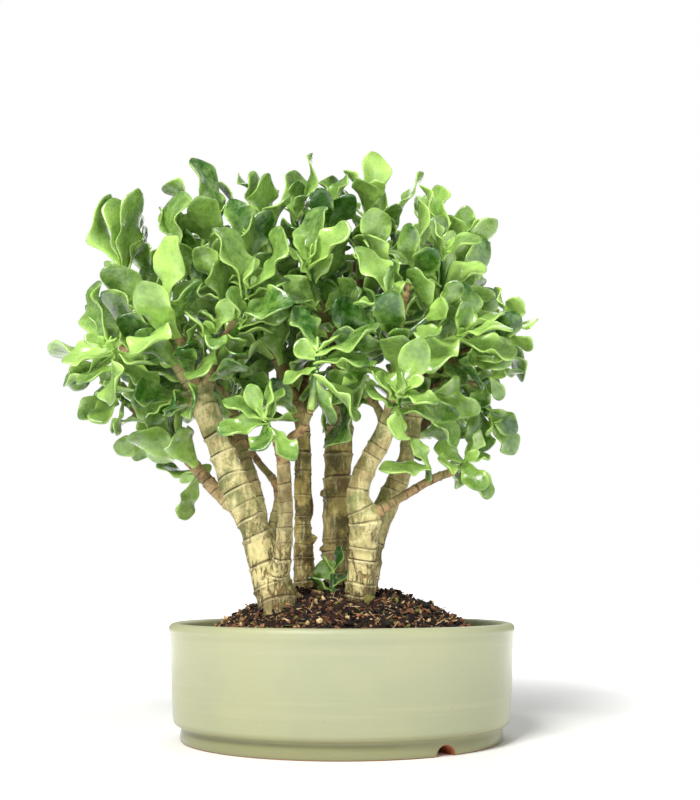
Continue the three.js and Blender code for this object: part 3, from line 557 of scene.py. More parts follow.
def grow_trunk(trunk):
    """One trunk with its limbs as a single skin, marked with how far along its rings it is."""
    bm = bmesh.new()
    for limb in [*limbs_of(trunk).values(), *map(Limb, KNOBS.get(trunk, []))]:
        wobble = rng.uniform(0, 6.28)
        tube(bm, limb, LIMB_SIDES, max(4, round(limb.length / 3.2)),
             lambda t: limb.radius(t) * (1 + 0.035 * math.sin(t * limb.length / 7.3 + wobble)))
    bmesh.ops.recalc_face_normals(bm, faces=bm.faces)
    shape = show("trunk_shape", to_mesh(bm, "trunk_shape"))
    skin = shape.modifiers.new("skin", "REMESH")
    skin.mode, skin.voxel_size = "VOXEL", VOXEL * MM
    relax = shape.modifiers.new("relax", "SMOOTH")
    relax.factor, relax.iterations = 0.5, 3
    mesh = take_mesh(shape)
    drop_specks(mesh)
    places = read(mesh.vertices, "co") / MM - ORIGIN
    normals = read(mesh.vertices, "normal")

    best = np.full(len(places), 1e9)
    phase, girth, gap, mark, swell = np.zeros((5, len(places)))
    lumps = np.array([noise.noise(Vector(place * 0.09)) for place in places])
    for number, (name, limb) in enumerate(limbs_of(trunk).items()):
        shares = np.linspace(0, 1, max(8, round(limb.length / 1.5)) + 1)
        line = np.array([limb.at(t) for t in shares])
        thick = np.array([limb.radius(t) for t in shares])
        run = np.concatenate([[0], np.cumsum(np.linalg.norm(np.diff(line, axis=0), axis=1))])
        marks = ring_places(run[-1], thick.mean())
        strengths = rng.uniform(0.15, 1.25, len(marks))
        swells = rng.normal(0, 0.34, len(marks))
        lean = unit(rng.normal(size=3)) * rng.uniform(0.05, 0.13)
        inside = (places > line.min(0) - SKIN_REACH) & (places < line.max(0) + SKIN_REACH)
        near = np.flatnonzero(inside.all(1))
        for part in np.array_split(near, max(1, len(near) // CHUNK)):
            over = np.linalg.norm(places[part][:, None] - line[None], axis=2) - thick[None]
            pick = over.argmin(1)
            least = over[np.arange(len(part)), pick]
            closer = least < best[part]
            chosen, spot = part[closer], pick[closer]
            best[chosen] = least[closer]
            step = np.gradient(line, axis=0)[spot]
            step /= np.linalg.norm(step, axis=1)[:, None]
            offset = places[chosen] - line[spot]
            at = run[spot] + (offset * step).sum(1) + offset @ lean + 1.1 * lumps[chosen]
            where = np.clip(np.searchsorted(marks, at) - 1, 0, len(marks) - 2)
            gap[chosen] = marks[where + 1] - marks[where]
            phase[chosen] = LIMB_OFFSET * number + where + (at - marks[where]) / gap[chosen]
            mark[chosen] = strengths[where + (phase[chosen] % 1 > 0.5)]
            swell[chosen] = swells[where]
            girth[chosen] = thick[spot] + OLD_LOOK.get(name, 0)
    part = phase - np.floor(phase)
    left = (1 - part) * gap
    nearest = np.minimum(part * gap, left)
    sag = np.exp(-(nearest / 0.5) ** 2) * mark
    lip = np.exp(-((left - 1.0) / 0.8) ** 2) * mark
    waist = (0.5 - 0.5 * np.cos(2 * np.pi * part)) * 0.4
    plateau = swell * (1 - np.exp(-(nearest / 0.9) ** 2))
    scale = np.clip(girth / 8, 0.35, 1.1)
    fine = np.array([noise.noise(Vector(place * np.array([0.45, 0.45, 0.2]))) for place in places])
    rise = scale * (RING_DEPTH * (lip - 0.8 * sag - waist) + plateau + 0.6 * lumps + 0.34 * fine)
    moved = (places + normals * rise[:, None] + ORIGIN) * MM
    mesh.vertices.foreach_set("co", moved.ravel())
    mesh.update()
    for name, values in (("rings", phase), ("girth", girth), ("mark", mark)):
        layer = mesh.attributes.new(name, "FLOAT", "POINT")
        layer.data.foreach_set("value", np.asarray(values, np.float32))
    return mesh


def bark(name, old, patch, blush, young, flake, shade):
    """Bark: old is its colour, patch the green over it, blush a warm cloud, young that of thin limbs,
    flake the share that peels near the soil, and shade the share of painted shade laid over it all."""
    paint = Paint(name)
    height = paint.axis("Z")
    part = paint.given("rings").fraction()
    mark = paint.given("mark").least(1)
    scar = part.least(1 - part).ramp(0.055, 0.012) * paint.noise(85, 4, 0.6).ramp(0.25, 0.55) * mark
    lip = part.ramp(0.8, 0.9) * part.ramp(0.985, 0.94) * mark
    grain = paint.noise(250, 5, 0.7, 0.22)
    low = height.ramp(0.14, 0.095)
    shreds = paint.noise(120, 5, 0.7, 0.34)
    peeled = shreds.ramp(0.44, 0.52) * low * flake
    splits = paint.cells(250, 0.26, feature="DISTANCE_TO_EDGE").ramp(0.12, 0.03)
    splits = splits * paint.noise(110).ramp(0.44, 0.56) * low * flake
    edge = (shreds.ramp(0.4, 0.435) * shreds.ramp(0.475, 0.445) * low * flake).most(splits)
    moss = paint.noise(52, 4, 0.6).ramp(0.5, 0.64) * low
    stain = height.ramp(0.09, 0.074) * paint.noise(180, 4, 0.6).ramp(0.3, 0.55)
    color = paint.over(
        tint(*old), (paint.noise(85, 6, 0.65).ramp(0.42, 0.6), *patch),
        (paint.noise(34, 5, 0.6).ramp(0.5, 0.62) * 0.5, *blush),
        (paint.noise(620, 4, 0.6).ramp(0.53, 0.66) * 0.5, 128, 104, 58),
        (grain.ramp(0.48, 0.62) * 0.5, 104, 96, 54), (grain.ramp(0.46, 0.36) * 0.4, 246, 238, 190),
        (peeled * 0.7, 224, 208, 146), (moss * 0.6, 122, 134, 60), (edge * 0.85, 118, 88, 42),
        (lip * flake * flake * 0.45, 240, 230, 180), (stain * 0.6, 96, 72, 40))
    twig = paint.over(tint(*young), (paint.noise(190, 4).ramp(0.38, 0.66), 112, 82, 52),
                      (paint.noise(48, 4).ramp(0.46, 0.6) * 0.8, 140, 138, 84))
    color = paint.mix(paint.given("girth").ramp(5.2, 3.3), color, twig)
    paint.set(Base_Color=paint.over(color, (scar * 0.85, 84, 58, 34), (shade, 62, 54, 26)),
              Roughness=paint.noise(120) * 0.25 + 0.55)
    cracks = paint.noise(520, 4, 0.6, 0.28)
    relief = cracks * 0.4 + paint.noise(330) * 0.35 + peeled * 0.3 - scar * 0.6 - edge * 0.4 + 0.4
    paint.raise_by(relief, 0.0019)
    return paint


# shade, the last argument of each bark, is a share of painted shade laid over all its colours.
pale_bark = bark("pale_bark", (224, 212, 152), (132, 138, 80), (186, 148, 98), (182, 150, 104),
                 flake=1.0, shade=0.0)
mid_bark = bark("mid_bark", (200, 186, 122), (134, 134, 76), (168, 134, 86), (140, 106, 66),
                flake=0.8, shade=0.08)
# dark_bark is for the inner and rear trunks under the crown: its darker colours are partly their own
# olive bark and partly painted shade.
dark_bark = bark("dark_bark", (192, 172, 98), (82, 76, 30), (134, 92, 52), (122, 90, 56),
                 flake=0.6, shade=0.1)
TRUNK_PIECES = {
    "a": ("trunk_front_left", pale_bark, "pale_bark"),
    "b": ("trunk_inner", dark_bark, "dark_bark"),
    "c": ("trunk_rear", dark_bark, "dark_bark"),
    "d": ("trunk_front_right", pale_bark, "pale_bark"),
    "e": ("trunk_right", mid_bark, "pale_bark"),
}
for trunk, (node, paint, slot) in TRUNK_PIECES.items():
    dress("bark_" + node, grow_trunk(trunk), [paint], slot, [node])

# Leafy shoots
# Each limb ends in a short green stem with fleshy leaves. A leaf is 2 mm thick, narrow at its
# stalk, broad and round beyond the middle, and its edge is waved and pale. The leaves grow by
# the same rule and the same draws as the solids, and then get a fine blade in place of facets.

STALK_WIDTH = 0.24
WIDEST = 0.64
FOLD = 0.22
WAVE = 0.34
WAVE_COUNT = 1.9
SLENDERNESS = 0.58
ROOT_DEPTH = 1.8
STEM_RADIUS = 2.0
STEM_SAG = 0.1
PAIR_STEP = 0.28
FIRST_SPREAD = 28
SPREAD_STEP = 20
FIRST_LENGTH = 21
LENGTH_STEP = 6
CLEAR_LEAF = 4.4
CLEAR_OWN_LEAF = 2.4
CLEAR_WOOD = 2.1
FRONT = np.array([0, -1.0, 0])
SMALL_TRIES = ((0, 0, 1), (22, 0, 1), (-22, 0, 1), (0, 16, 1), (0, -16, 1), (44, 8, 0.9),
               (-44, 8, 0.9), (24, -14, 0.8), (-24, -14, 0.8), (0, 0, 0.7))

# The limb and the share of it where a shoot grows, its tip, how light its leaves are, how many
# small leaves it has, and the tip and seen width of each large leaf, in mm. How light runs from 0
# to 1, partly by age, from the oldest to the youngest, and partly as painted light and shade,
# higher for sunlit shoots and lower for shaded ones.
SHOOTS = {
    "left_top": ["a.left", 1, [-137, -12, 281], 0.68, 2, [[-148, -5, 275, 6], [-144, -25, 276, 8],
        [-135, 25, 318, 9], [-124, 5, 306, 12], [-118, -5, 322, 11], [-149, -16, 323, 10]]],
    "left_hero": ["a.mid", 1, [-100, -55, 239], 0.9, 2, [[-121, -50, 250, 11], [-82, -45, 257, 14],
        [-106, -85, 206, 18], [-108, -60, 243, 8], [-95, -62, 280, 20]]],
    "left_rosette": ["a.pale", 1, [-127, -58, 214], 0.68, 1, [[-105, -38, 193, 13],
        [-170, -12, 213, 6], [-157, -30, 198, 5], [-143, -50, 189, 12], [-141, -30, 252, 17],
        [-100, -75, 200, 12], [-155, -45, 209, 15], [-119, -80, 180, 10], [-146, -35, 240, 12],
        [-140, -70, 215, 8]]],
    "left_low": ["a.low", 1, [-133, -22, 196], 0.6, 4, [[-127, -30, 170, 5], [-154, -25, 180, 15]]],
    "left_hanging": ["a.low", 0.68, [-121, 8, 174], 0.5, 3, [[-133, 5, 160, 12],
        [-113, 15, 156, 21]]],
    "lone_hanging": ["a.low", 0.42, [-90, 12, 151], 0.72, 1, [[-94, 5, 122, 10]]],
    "top_left_fan": ["b.fan", 1, [-77, -18, 304], 0.45, 1, [[-101, -25, 304, 11], [-81, 5, 329, 13],
        [-108, 5, 332, 12], [-93, -5, 342, 15], [-94, -35, 316, 19]]],
    "top_left_arch": ["b.arch", 1, [-56, -22, 288], 0.4, 2, [[-56, -50, 296, 9], [-74, 10, 351, 9],
        [-47, -45, 298, 14], [-67, -30, 325, 21]]],
    "top_fold": ["b.fold", 1, [-50, 6, 313], 0.42, 2, [[-39, -25, 318, 7], [-45, 20, 356, 9],
        [-59, -5, 342, 13], [-46, -15, 339, 11]]],
    "top_oval": ["b.back", 1, [-29, -5, 313], 0.5, 2, [[-36, -30, 300, 8], [-20, 5, 358, 7],
        [-29, -12, 341, 16]]],
    "front_fork": ["a.right", 1, [-50, -65, 247], 0.52, 4, [[-70, -60, 285, 12], [-30, -75, 277, 11],
        [-46, -85, 257, 8]]],
    "left_inner": ["a.right", 0.8, [-70, -38, 256], 0.42, 3, [[-86, -45, 277, 13],
        [-70, -60, 266, 10]]],
    "left_behind": ["a.left", 0.7, [-93, -22, 277], 0.34, 3, [[-94, -30, 295, 14]]],
    "centre_top": ["c.front", 1, [-19, -60, 263], 0.52, 1, [[-27, -70, 265, 7], [-5, -50, 273, 12],
        [3, -80, 279, 14], [-17, -55, 305, 17], [-15, -72, 272, 4]]],
    "centre_dark": ["c.left", 1, [-8, -12, 312], 0.22, 3, [[6, -25, 320, 14], [0, -5, 342, 13],
        [-17, -30, 323, 15]]],
    "top_hero": ["c.mid", 1, [16, 0, 321], 0.86, 3, [[27, 15, 338, 13], [4, 5, 351, 9],
        [21, -8, 358, 20]]],
    "centre_pale": ["d.crest", 0.6, [22, -40, 277], 0.6, 3, [[13, -60, 281, 8], [19, -55, 298, 21]]],
    "front_upper": ["d.main", 1, [28, -75, 236], 0.5, 4, [[8, -80, 266, 17], [29, -92, 250, 9]]],
    "right_crest": ["d.crest", 1, [43, -60, 264], 0.4, 1, [[25, -55, 286, 11], [51, -85, 259, 14],
        [34, -70, 282, 11], [46, -50, 307, 7]]],
    "long_curl": ["e.up", 1, [31, 12, 317], 0.6, 3, [[57, 10, 348, 8]]],
    "right_arch": ["e.main", 1, [56, -28, 285], 0.6, 2, [[65, -40, 291, 12], [58, -45, 298, 11],
        [49, -20, 330, 11]]],
    "right_upright": ["e.tall", 1, [77, 4, 302], 0.62, 3, [[78, 0, 324, 15], [99, -10, 307, 13]]],
    "right_bright": ["e.main", 0.96, [58, -50, 270], 0.7, 2, [[84, -40, 269, 14],
        [77, -70, 274, 12]]],
    "right_middle": ["d.main", 0.97, [54, -65, 236], 0.6, 2, [[49, -82, 213, 16], [58, -80, 233, 12],
        [65, -70, 249, 11], [41, -85, 251, 6]]],
    "right_rosette": ["e.front", 1, [66, -55, 223], 0.55, 1, [[93, -40, 240, 13], [98, -60, 211, 13],
        [93, -70, 222, 11], [44, -78, 196, 20], [74, -55, 255, 14]]],
    "right_end": ["e.far", 1, [103, -3, 240], 0.97, 2, [[116, -10, 225, 5], [93, 5, 269, 6],
        [109, -5, 264, 14]]],
    "right_shade": ["e.far", 0.4, [77, -28, 219], 0.34, 4, [[100, -30, 213, 18], [75, -60, 205, 13]]],
    "right_outer": ["e.right", 1, [90, -9, 208], 0.45, 2, [[81, -15, 186, 14], [98, -5, 195, 10]]],
    "front_rosette": ["d.main", 0.72, [31, -90, 183], 0.64, 0, [[26, -95, 159, 9], [47, -85, 169, 10],
        [12, -85, 184, 6], [50, -100, 174, 11], [28, -105, 167, 10], [15, -95, 190, 9],
        [25, -90, 201, 5], [41, -95, 211, 17]]],
    "right_layers": ["d.main", 0.8, [50, -50, 188], 0.46, 2, [[61, -30, 199, 8], [68, -40, 164, 16],
        [66, -60, 171, 9], [77, -55, 180, 10]]],
    "right_pair": ["e.right", 0.85, [88, -12, 184], 0.4, 1, [[83, -20, 162, 18], [106, -10, 175, 15],
        [107, -4, 160, 16]]],
    "branch_end": ["d.right", 1, [70, -33, 154], 0.7, 1, [[86, -36, 135, 12], [43, -35, 152, 8],
        [86, -20, 158, 6], [55, -42, 163, 11]]],
    "branch_side": ["d.right", 0.7, [48, -44, 150], 0.6, 1, [[20, -52, 144, 13]]],
    "front_shoot": ["a.second_right", 1, [-12, -82, 207], 0.42, 0, [[11, -80, 170, 4],
        [-3, -70, 169, 7], [-31, -85, 189, 6], [-11, -60, 190, 6], [15, -90, 200, 10],
        [-25, -85, 209, 12], [23, -85, 217, 8], [-24, -75, 233, 12]]],
    "front_low": ["a.second_left", 1, [-41, -78, 172], 0.45, 0, [[-23, -75, 150, 10],
        [-64, -85, 164, 13], [-30, -60, 190, 7], [-41, -95, 151, 13], [-62, -75, 183, 7],
        [-35, -80, 191, 4], [-49, -85, 187, 11]]],
    "torn": ["a.right", 0.45, [-71, -56, 224], 0.46, 3, [[-81, -64, 194, 13], [-67, -72, 211, 11],
        [-61, -60, 243, 12]]],
    "centre_left": ["a.right", 0.68, [-53, -62, 230], 0.4, 4, [[-21, -80, 233, 19]]],
    "left_curved": ["a.third", 0.5, [-61, -26, 210], 0.38, 3, [[-61, -20, 215, 18],
        [-46, -50, 221, 9], [-45, -42, 187, 16]]],
    "centre_broad": ["d.main", 0.93, [20, -52, 226], 0.28, 3, [[-6, -55, 219, 13],
        [-5, -62, 239, 22]]],
    "centre_round": ["d.twig", 1, [11, -47, 198], 0.36, 3, [[3, -70, 186, 8], [-10, -58, 194, 15]]],
    "rear_left_top": ["a.rear_high", 1, [-137, 52, 304], 0.5, 7, []],
    "rear_left": ["a.rear_low", 1, [-152, 44, 256], 0.5, 7, []],
    "rear_left_high": ["a.third", 1, [-98, 54, 316], 0.5, 7, []],
    "rear_left_middle": ["a.fourth", 1, [-93, 66, 268], 0.5, 7, []],
    "rear_top_left": ["b.rear", 1, [-58, 64, 318], 0.5, 7, []],
    "rear_centre_left": ["b.rear_low", 1, [-51, 76, 276], 0.5, 7, []],
    "rear_top": ["c.rear", 1, [-18, 62, 323], 0.5, 7, []],
    "rear_top_right": ["c.right", 1, [23, 66, 319], 0.5, 7, []],
    "rear_centre": ["c.rear_low", 1, [1, 88, 270], 0.5, 7, []],
    "rear_right_high": ["e.rear_up", 1, [64, 58, 318], 0.5, 7, []],
    "rear_right": ["e.rear", 1, [95, 54, 264], 0.5, 7, []],
    "rear_right_low": ["e.rear_low", 1, [72, 56, 216], 0.5, 7, []],
}
# The sprout grows from its foot in the soil. The rest is as in a row of SHOOTS, from the tip on.
SPROUT_FOOT = [-4, -24, 70]
SPROUT = [[-5, -25, 93], 0.2, 0,
          [[-19, -26, 90, 4], [22, -12, 94, 5], [0, -22, 107, 5], [-12, -36, 95, 15]]]

# Leaves that stand between those of the solids, where a shoot still shows a gap.
MORE_SHARE = 0.9                        # where on its stem such a leaf grows
MORE_CLEAR = (2.8, 1.2)                 # mm from other leaves, and from those of the same shoot
MORE_LEAVES = {
    "left_behind": [[-110, -10, 318, 12], [-103, -25, 320, 13]],
    "left_top": [[-138, -30, 316, 14]],
    "top_fold": [[-69, 20, 354, 14], [-52, 0, 347, 15]],
    "top_oval": [[-32, 12, 352, 18]],
    "centre_dark": [[-2, 12, 350, 15]],
    "top_hero": [[9, -10, 347, 11]],
    "right_arch": [[60, -15, 332, 12]],
    "long_curl": [[38, -14, 318, 13]],
    "centre_round": [[-14, -15, 176, 12], [-8, -14, 165, 10]],
    "front_low": [[-28, -50, 178, 12]],
    "left_low": [[-136, -42, 172, 16]],
    "front_rosette": [[14, -78, 200, 11]],
    "branch_end": [[76, -45, 134, 15]],
    "left_rosette": [[-160, -40, 196, 9]],
}

seed = 20417


def draw(low, high):
    """The next seeded draw."""
    global seed
    seed = (seed * 1664525 + 1013904223) % 4294967296
    return low + (high - low) * seed / 4294967296


class Stem(Run):
    """The green end of a shoot, which sags a little between its root and its tip."""

    def __init__(self, root, tip):
        self.root, self.tip = root, tip
        self.elbow = root + (tip - root) * 0.55
        self.elbow[2] -= STEM_SAG * math.dist(root, tip)
        self.length = self.measure()

    def radius(self, t):
        return STEM_RADIUS * (1.05 - 0.3 * t)

    def at(self, t):
        return (1 - t) ** 2 * self.root + 2 * (1 - t) * t * self.elbow + t ** 2 * self.tip


class Shoot:
    """A stem and the leaves on it."""

    def __init__(self, name, root, tip, light, small, large):
        self.name, self.light, self.small, self.large, self.leaves = name, light, small, large, []
        self.stem = Stem(np.array(root, float), np.array(tip, float))


def outline(u):
    """Half width of a leaf over its full half width: stalk, broad blade, round end."""
    rise = np.minimum(u / WIDEST, 1)
    blade = STALK_WIDTH + (1 - STALK_WIDTH) * rise * rise * (3 - 2 * rise)
    end = np.maximum(0, (u - WIDEST) / (1 - WIDEST))
    return blade * np.sqrt(np.maximum(0, 1 - end * end))


def turned(direction, towards, degrees):
    angle = math.radians(degrees)
    across = unit(towards - direction * (towards @ direction))
    return direction * math.cos(angle) + across * math.sin(angle)


def spoke(axis, azimuth):
    """The way out from an axis, at an azimuth round it in degrees."""
    first, around = turned(axis, np.array([0.3, 0.8, 0.5]), 90), math.radians(azimuth)
    return first * math.cos(around) + np.cross(axis, first) * math.sin(around)


class Leaf:
    """A leaf: where it grows from and points to, how long and wide it is, its curl and waves."""

    def __init__(self, owner, base, curl, phase):
        self.owner, self.base, self.curl, self.phase = owner, base, curl, phase

    def lay(self, along, length, width, up):
        """Sets its direction, its size and the way that its upper face looks."""
        self.along, self.length, self.width, self.up = along, length, width, up
        self.side = unit(np.cross(up, along))

    def spread(self, axis, azimuth, degrees, length, slenderness=SLENDERNESS):
        """Lays it away from an axis, with its upper face towards the axis."""
        along = turned(axis, spoke(axis, azimuth), degrees)
        self.lay(along, length, length * slenderness, turned(along, axis, 90))

    def points(self, u, half):
        """Places on the middle sheet, u along it and half sideways in half widths of the leaf."""
        u, half = np.broadcast_arrays(np.asarray(u, float), np.asarray(half, float))
        share = half / np.maximum(outline(u), 1e-6)
        ripple = np.sin(2 * math.pi * WAVE_COUNT * u + self.phase + np.where(half > 0, 2.2, 0))
        lift = (self.curl * self.length * np.sin(math.pi * u)
                + share * half * self.width / 2 * (FOLD + WAVE * ripple))
        return (self.base + self.along * (self.length * u)[..., None]
                + self.side * (half * self.width / 2)[..., None] + self.up * lift[..., None])


CHECKED_U, CHECKED_V = np.meshgrid([0.3, 0.42, 0.54, 0.66, 0.78, 0.9, 1], [-0.9, -0.45, 0, 0.45, 0.9],
                                   indexing="ij")
shoots = [Shoot(name, limbs[limb].at(share), *rest) for name, (limb, share, *rest) in SHOOTS.items()]
shoots.append(Shoot("sprout", SPROUT_FOOT, *SPROUT))
wood = []
owned = [(limb, name[0]) for name, limb in limbs.items()]
owned += [(shoot.stem, shoot.name) for shoot in shoots]
for run, owner in owned:
    count = max(3, math.floor(run.length / 3 + 0.5))
    wood += [(run.at(i / count), run.radius(i / count), owner) for i in range(count + 1)]
wood_places, wood_radii, wood_owners = map(np.array, zip(*wood))
grown = []


def is_clear(leaf, from_leaf=CLEAR_LEAF, from_own=CLEAR_OWN_LEAF):
    """Whether a leaf is clear of the wood and of each leaf before it. If so, it is noted down."""
    places = leaf.points(CHECKED_U, CHECKED_V * outline(CHECKED_U)).reshape(-1, 3)
    middle = leaf.points(0.6, 0)
    near = (wood_owners != leaf.owner) & (np.linalg.norm(wood_places - middle, axis=1) <= leaf.length)
    if near.any():
        away = np.linalg.norm(places[:, None] - wood_places[near][None], axis=2)
        if (away < wood_radii[near] + CLEAR_WOOD).any():
            return False
    for other, taken, other_middle in grown:
        if math.dist(middle, other_middle) > leaf.length + other.length:
            continue
        least = from_own if other.owner == leaf.owner else from_leaf
        if (((places[:, None] - taken[None]) ** 2).sum(2) < least * least).any():
            return False
    grown.append((leaf, places, middle))
    return True


def face_up(along, stem_axis, turn):
    """A leaf's upper face looks along the stem, and turns about its length by its seen width."""
    front = turned(along, FRONT, 90)
    side = np.cross(front, along)
    natural = stem_axis - along * (stem_axis @ along)
    choices = [front * (face * math.cos(turn)) + side * (way * math.sin(turn))
               for face in (1, -1) for way in (1, -1)]
    return max(choices, key=lambda choice: choice @ natural)


def grow_large_leaf(shoot, share, row, from_leaf=CLEAR_LEAF, from_own=CLEAR_OWN_LEAF):
    base, stem_axis = shoot.stem.at(share), shoot.stem.along(share)
    tip, seen = np.array(row[:3], float), row[3]
    length = math.dist(tip, base)
    width = max(seen, SLENDERNESS * length)
    leaf = Leaf(shoot.name, base, draw(-0.1, 0.13), draw(0, 2 * math.pi))
    for shrink in (1, 0.86, 0.74):
        for swing in (0, 10, -10, 20, -20, 32, -32, 45, -45):
            along = turned(unit(tip - base), FRONT, swing)
            up = face_up(along, stem_axis, math.acos(seen / width))
            leaf.lay(along, length * shrink, width * shrink, up)
            if is_clear(leaf, from_leaf, from_own):
                return leaf
    return None


def grow_small_leaf(shoot, number, roll):
    pair = number // 2
    share = 1 - PAIR_STEP * pair
    azimuth = roll + 90 * pair + 180 * (number % 2) + draw(-12, 12)
    spread = FIRST_SPREAD + SPREAD_STEP * pair + draw(-6, 6)
    length = FIRST_LENGTH + LENGTH_STEP * pair + draw(-2, 3)
    leaf = Leaf(shoot.name, shoot.stem.at(share), draw(-0.08, 0.15), draw(0, 2 * math.pi))
    for swing, lean, shrink in SMALL_TRIES:
        leaf.spread(shoot.stem.along(share), azimuth + swing, spread + lean, length * shrink)
        if is_clear(leaf):
            return leaf
    return None


for shoot in shoots:
    stem = shoot.stem
    order = sorted(shoot.large, key=lambda row: (np.array(row[:3], float) - stem.at(1)) @ stem.along(1))
    for rank, row in enumerate(order):
        share = 0.5 + 0.5 * rank / (len(order) - 1) if len(order) > 1 else 0.9
        shoot.leaves.append(grow_large_leaf(shoot, share, row))
for shoot in shoots:
    roll = draw(0, 90)
    shoot.leaves += [grow_small_leaf(shoot, number, roll) for number in range(shoot.small)]
for shoot in shoots:
    more = MORE_LEAVES.get(shoot.name, [])
    shoot.leaves += [grow_large_leaf(shoot, MORE_SHARE, row, *MORE_CLEAR) for row in more]
    shoot.leaves = [leaf for leaf in shoot.leaves if leaf]


def leaf_paint(name, dark, light, bloom, sheen):
    """The skin of a leaf: dark to light by its tone, which is partly its age and partly painted
    light and shade, with a grey bloom and small pores.
    """
    paint = Paint(name, Coat_Roughness=0.2, Coat_Weight=0.6)
    along = paint.given("along")
    across = abs(paint.given("across"))
    cloud = paint.noise(110, 5, 0.65) * 1.1 + paint.noise(380, 4, 0.6) * 0.4 - 0.25
    tone = (paint.given("tone") - 0.06 + (cloud - 0.5) + across.ramp(0.45, 1) * 0.34
            + (0.45 - along) * 0.2)
    vein = across.ramp(0.11, 0) * along.ramp(0.72, 0.2)
    dust = paint.noise(230, 5, 0.65).ramp(0.45, 0.7) * paint.given("age").ramp(0.15, 0.9)
    spot = paint.cells(150).ramp(0.13, 0.05) * paint.noise(45, 2).ramp(0.6, 0.68)
    color = paint.over(
        paint.mix(tone, tint(*dark), tint(*light)), (along.ramp(0.3, 0.02) * 0.75, 176, 212, 100),
        (vein * 0.22, 196, 226, 130), (dust * bloom, 144, 182, 104),
        (across.ramp(0.92, 0.99) * 0.28, 188, 220, 116), (spot * 0.55, 70, 84, 42))
    paint.set(Base_Color=color, Roughness=sheen + dust * 0.22 + (paint.noise(300, 2) - 0.5) * 0.12)
    paint.raise_by(paint.noise(120, 3, 0.5) * 0.75 + paint.noise(420, 4, 0.5) * 0.25, 0.0014)
    return paint


leaf_top = leaf_paint("leaf_upper_skin", (34, 84, 0), (174, 214, 104), 0.4, 0.26)
leaf_under = leaf_paint("leaf_lower_skin", (58, 106, 10), (188, 222, 132), 0.45, 0.34)
leaf_rim = Paint("leaf_rim", Roughness=0.4)
leaf_rim.set(Base_Color=leaf_rim.over(tint(104, 150, 50), (leaf_rim.given("tone"), 188, 222, 112)))
green_stem = Paint("green_stem", Roughness=0.5)
stem_share = green_stem.given("along") + (green_stem.noise(240) - 0.5) * 0.5
stem_ring = green_stem.given("rings").fraction()
stem_scar = stem_ring.least(1 - stem_ring).ramp(0.12, 0.03)
green_stem.set(Base_Color=green_stem.over(
    tint(126, 96, 62), (stem_share.ramp(0.15, 0.5), 150, 182, 92), (stem_scar * 0.6, 96, 76, 44)))
green_stem.raise_by(green_stem.noise(500) * 0.6 - stem_scar * 0.4 + 0.4, 0.0005)
LEAF_PAINTS = [leaf_top, leaf_under, leaf_rim, green_stem]

FULL_GRID = (6, 10)                     # columns and rows of a leaf's sheet
SMALL_GRID = (4, 6)
SMALL_LEAF = 16
END_ROW = 0.82                          # share of a leaf's length where its round end begins
END_CURL = 0.11
BLADE_THICKNESS = 1.8
EDGE_THINNING = 0.62
STEM_SIDES = 12
STEM_RING = 7                           # mm between the scars on a stem
MARKS = ("tone", "along", "across", "age", "rings")


def add_leaf(bm, leaf, tone, age):
    """A waved sheet for one leaf: a grid laid out over its outline, with a finer wave on it, an
    end that may be pointed and that curls back, and edges that may turn up."""
    columns, rows = FULL_GRID if leaf.length > SMALL_LEAF else SMALL_GRID
    verts = bmesh.ops.create_grid(bm, x_segments=columns, y_segments=rows, size=1)["verts"]
    grid = np.array([vert.co for vert in verts])
    w, s = -grid[:, 0], (grid[:, 1] + 1) / 2
    sunk = ROOT_DEPTH / leaf.length
    notch = max(0.0, math.sin(leaf.phase * 5.1) - 0.35) * 0.07
    line = -sunk + (END_ROW + sunk) * s
    u = line + (1 - END_ROW) * s ** 3 * (1 - w * w) - notch * np.exp(-(w / 0.3) ** 2) * s ** 4
    round_end = np.sign(w) * outline(np.minimum(u, 1))
    half = w * outline(line) * (1 - s ** 5) + round_end * s ** 5
    half = half * (1 + 0.05 * w * w * np.sin(2 * math.pi * 3.1 * u + 2.3 * leaf.phase + (w > 0)))
    pointed = 0.42 * abs(math.sin(leaf.phase * 3.7)) ** 1.5
    half = half * (1 - pointed * np.clip((u - 0.55) / 0.45, 0, 1) ** 1.5)
    twist = 0.34 * math.sin(leaf.phase * 4.3) * np.clip((u - 0.2) / 0.8, 0, 1)
    bend = 0.07 * leaf.length * math.sin(leaf.phase * 6.1) * np.clip(u, 0, 1) ** 2
    frill = 0.06 * leaf.length * np.abs(w) ** 3 * s * (1.2 - s) * 2
    ripple = np.sin(2 * math.pi * 3.4 * u + 1.7 * leaf.phase + np.where(w > 0, 1.9, 0))
    curl_back = END_CURL * leaf.length * math.sin(leaf.phase * 2.3 + 0.6)
    hollow = (0.085 * leaf.length * math.cos(leaf.phase * 1.9) * w * w
              * np.sin(math.pi * np.clip(s, 0, 1)))
    raised = (frill * ripple + hollow - curl_back * np.clip((u - 0.5) / 0.5, 0, 1) ** 2
              + half * leaf.width / 2 * np.sin(twist))
    places = leaf.points(u, half * np.cos(twist))
    places = places + leaf.side * bend[:, None] + leaf.up * raised[:, None]
    layers = [bm.verts.layers.float[name] for name in MARKS]
    weight = bm.verts.layers.deform.verify()
    for vert, place, along, across in zip(verts, places, s, w):
        vert.co = metres(place)
        for layer, value in zip(layers, (tone, along, across, age, 0.5)):
            vert[layer] = value
        vert[weight][0] = (1 - EDGE_THINNING * across * across) * min(1.0, leaf.length / 24 + 0.25)


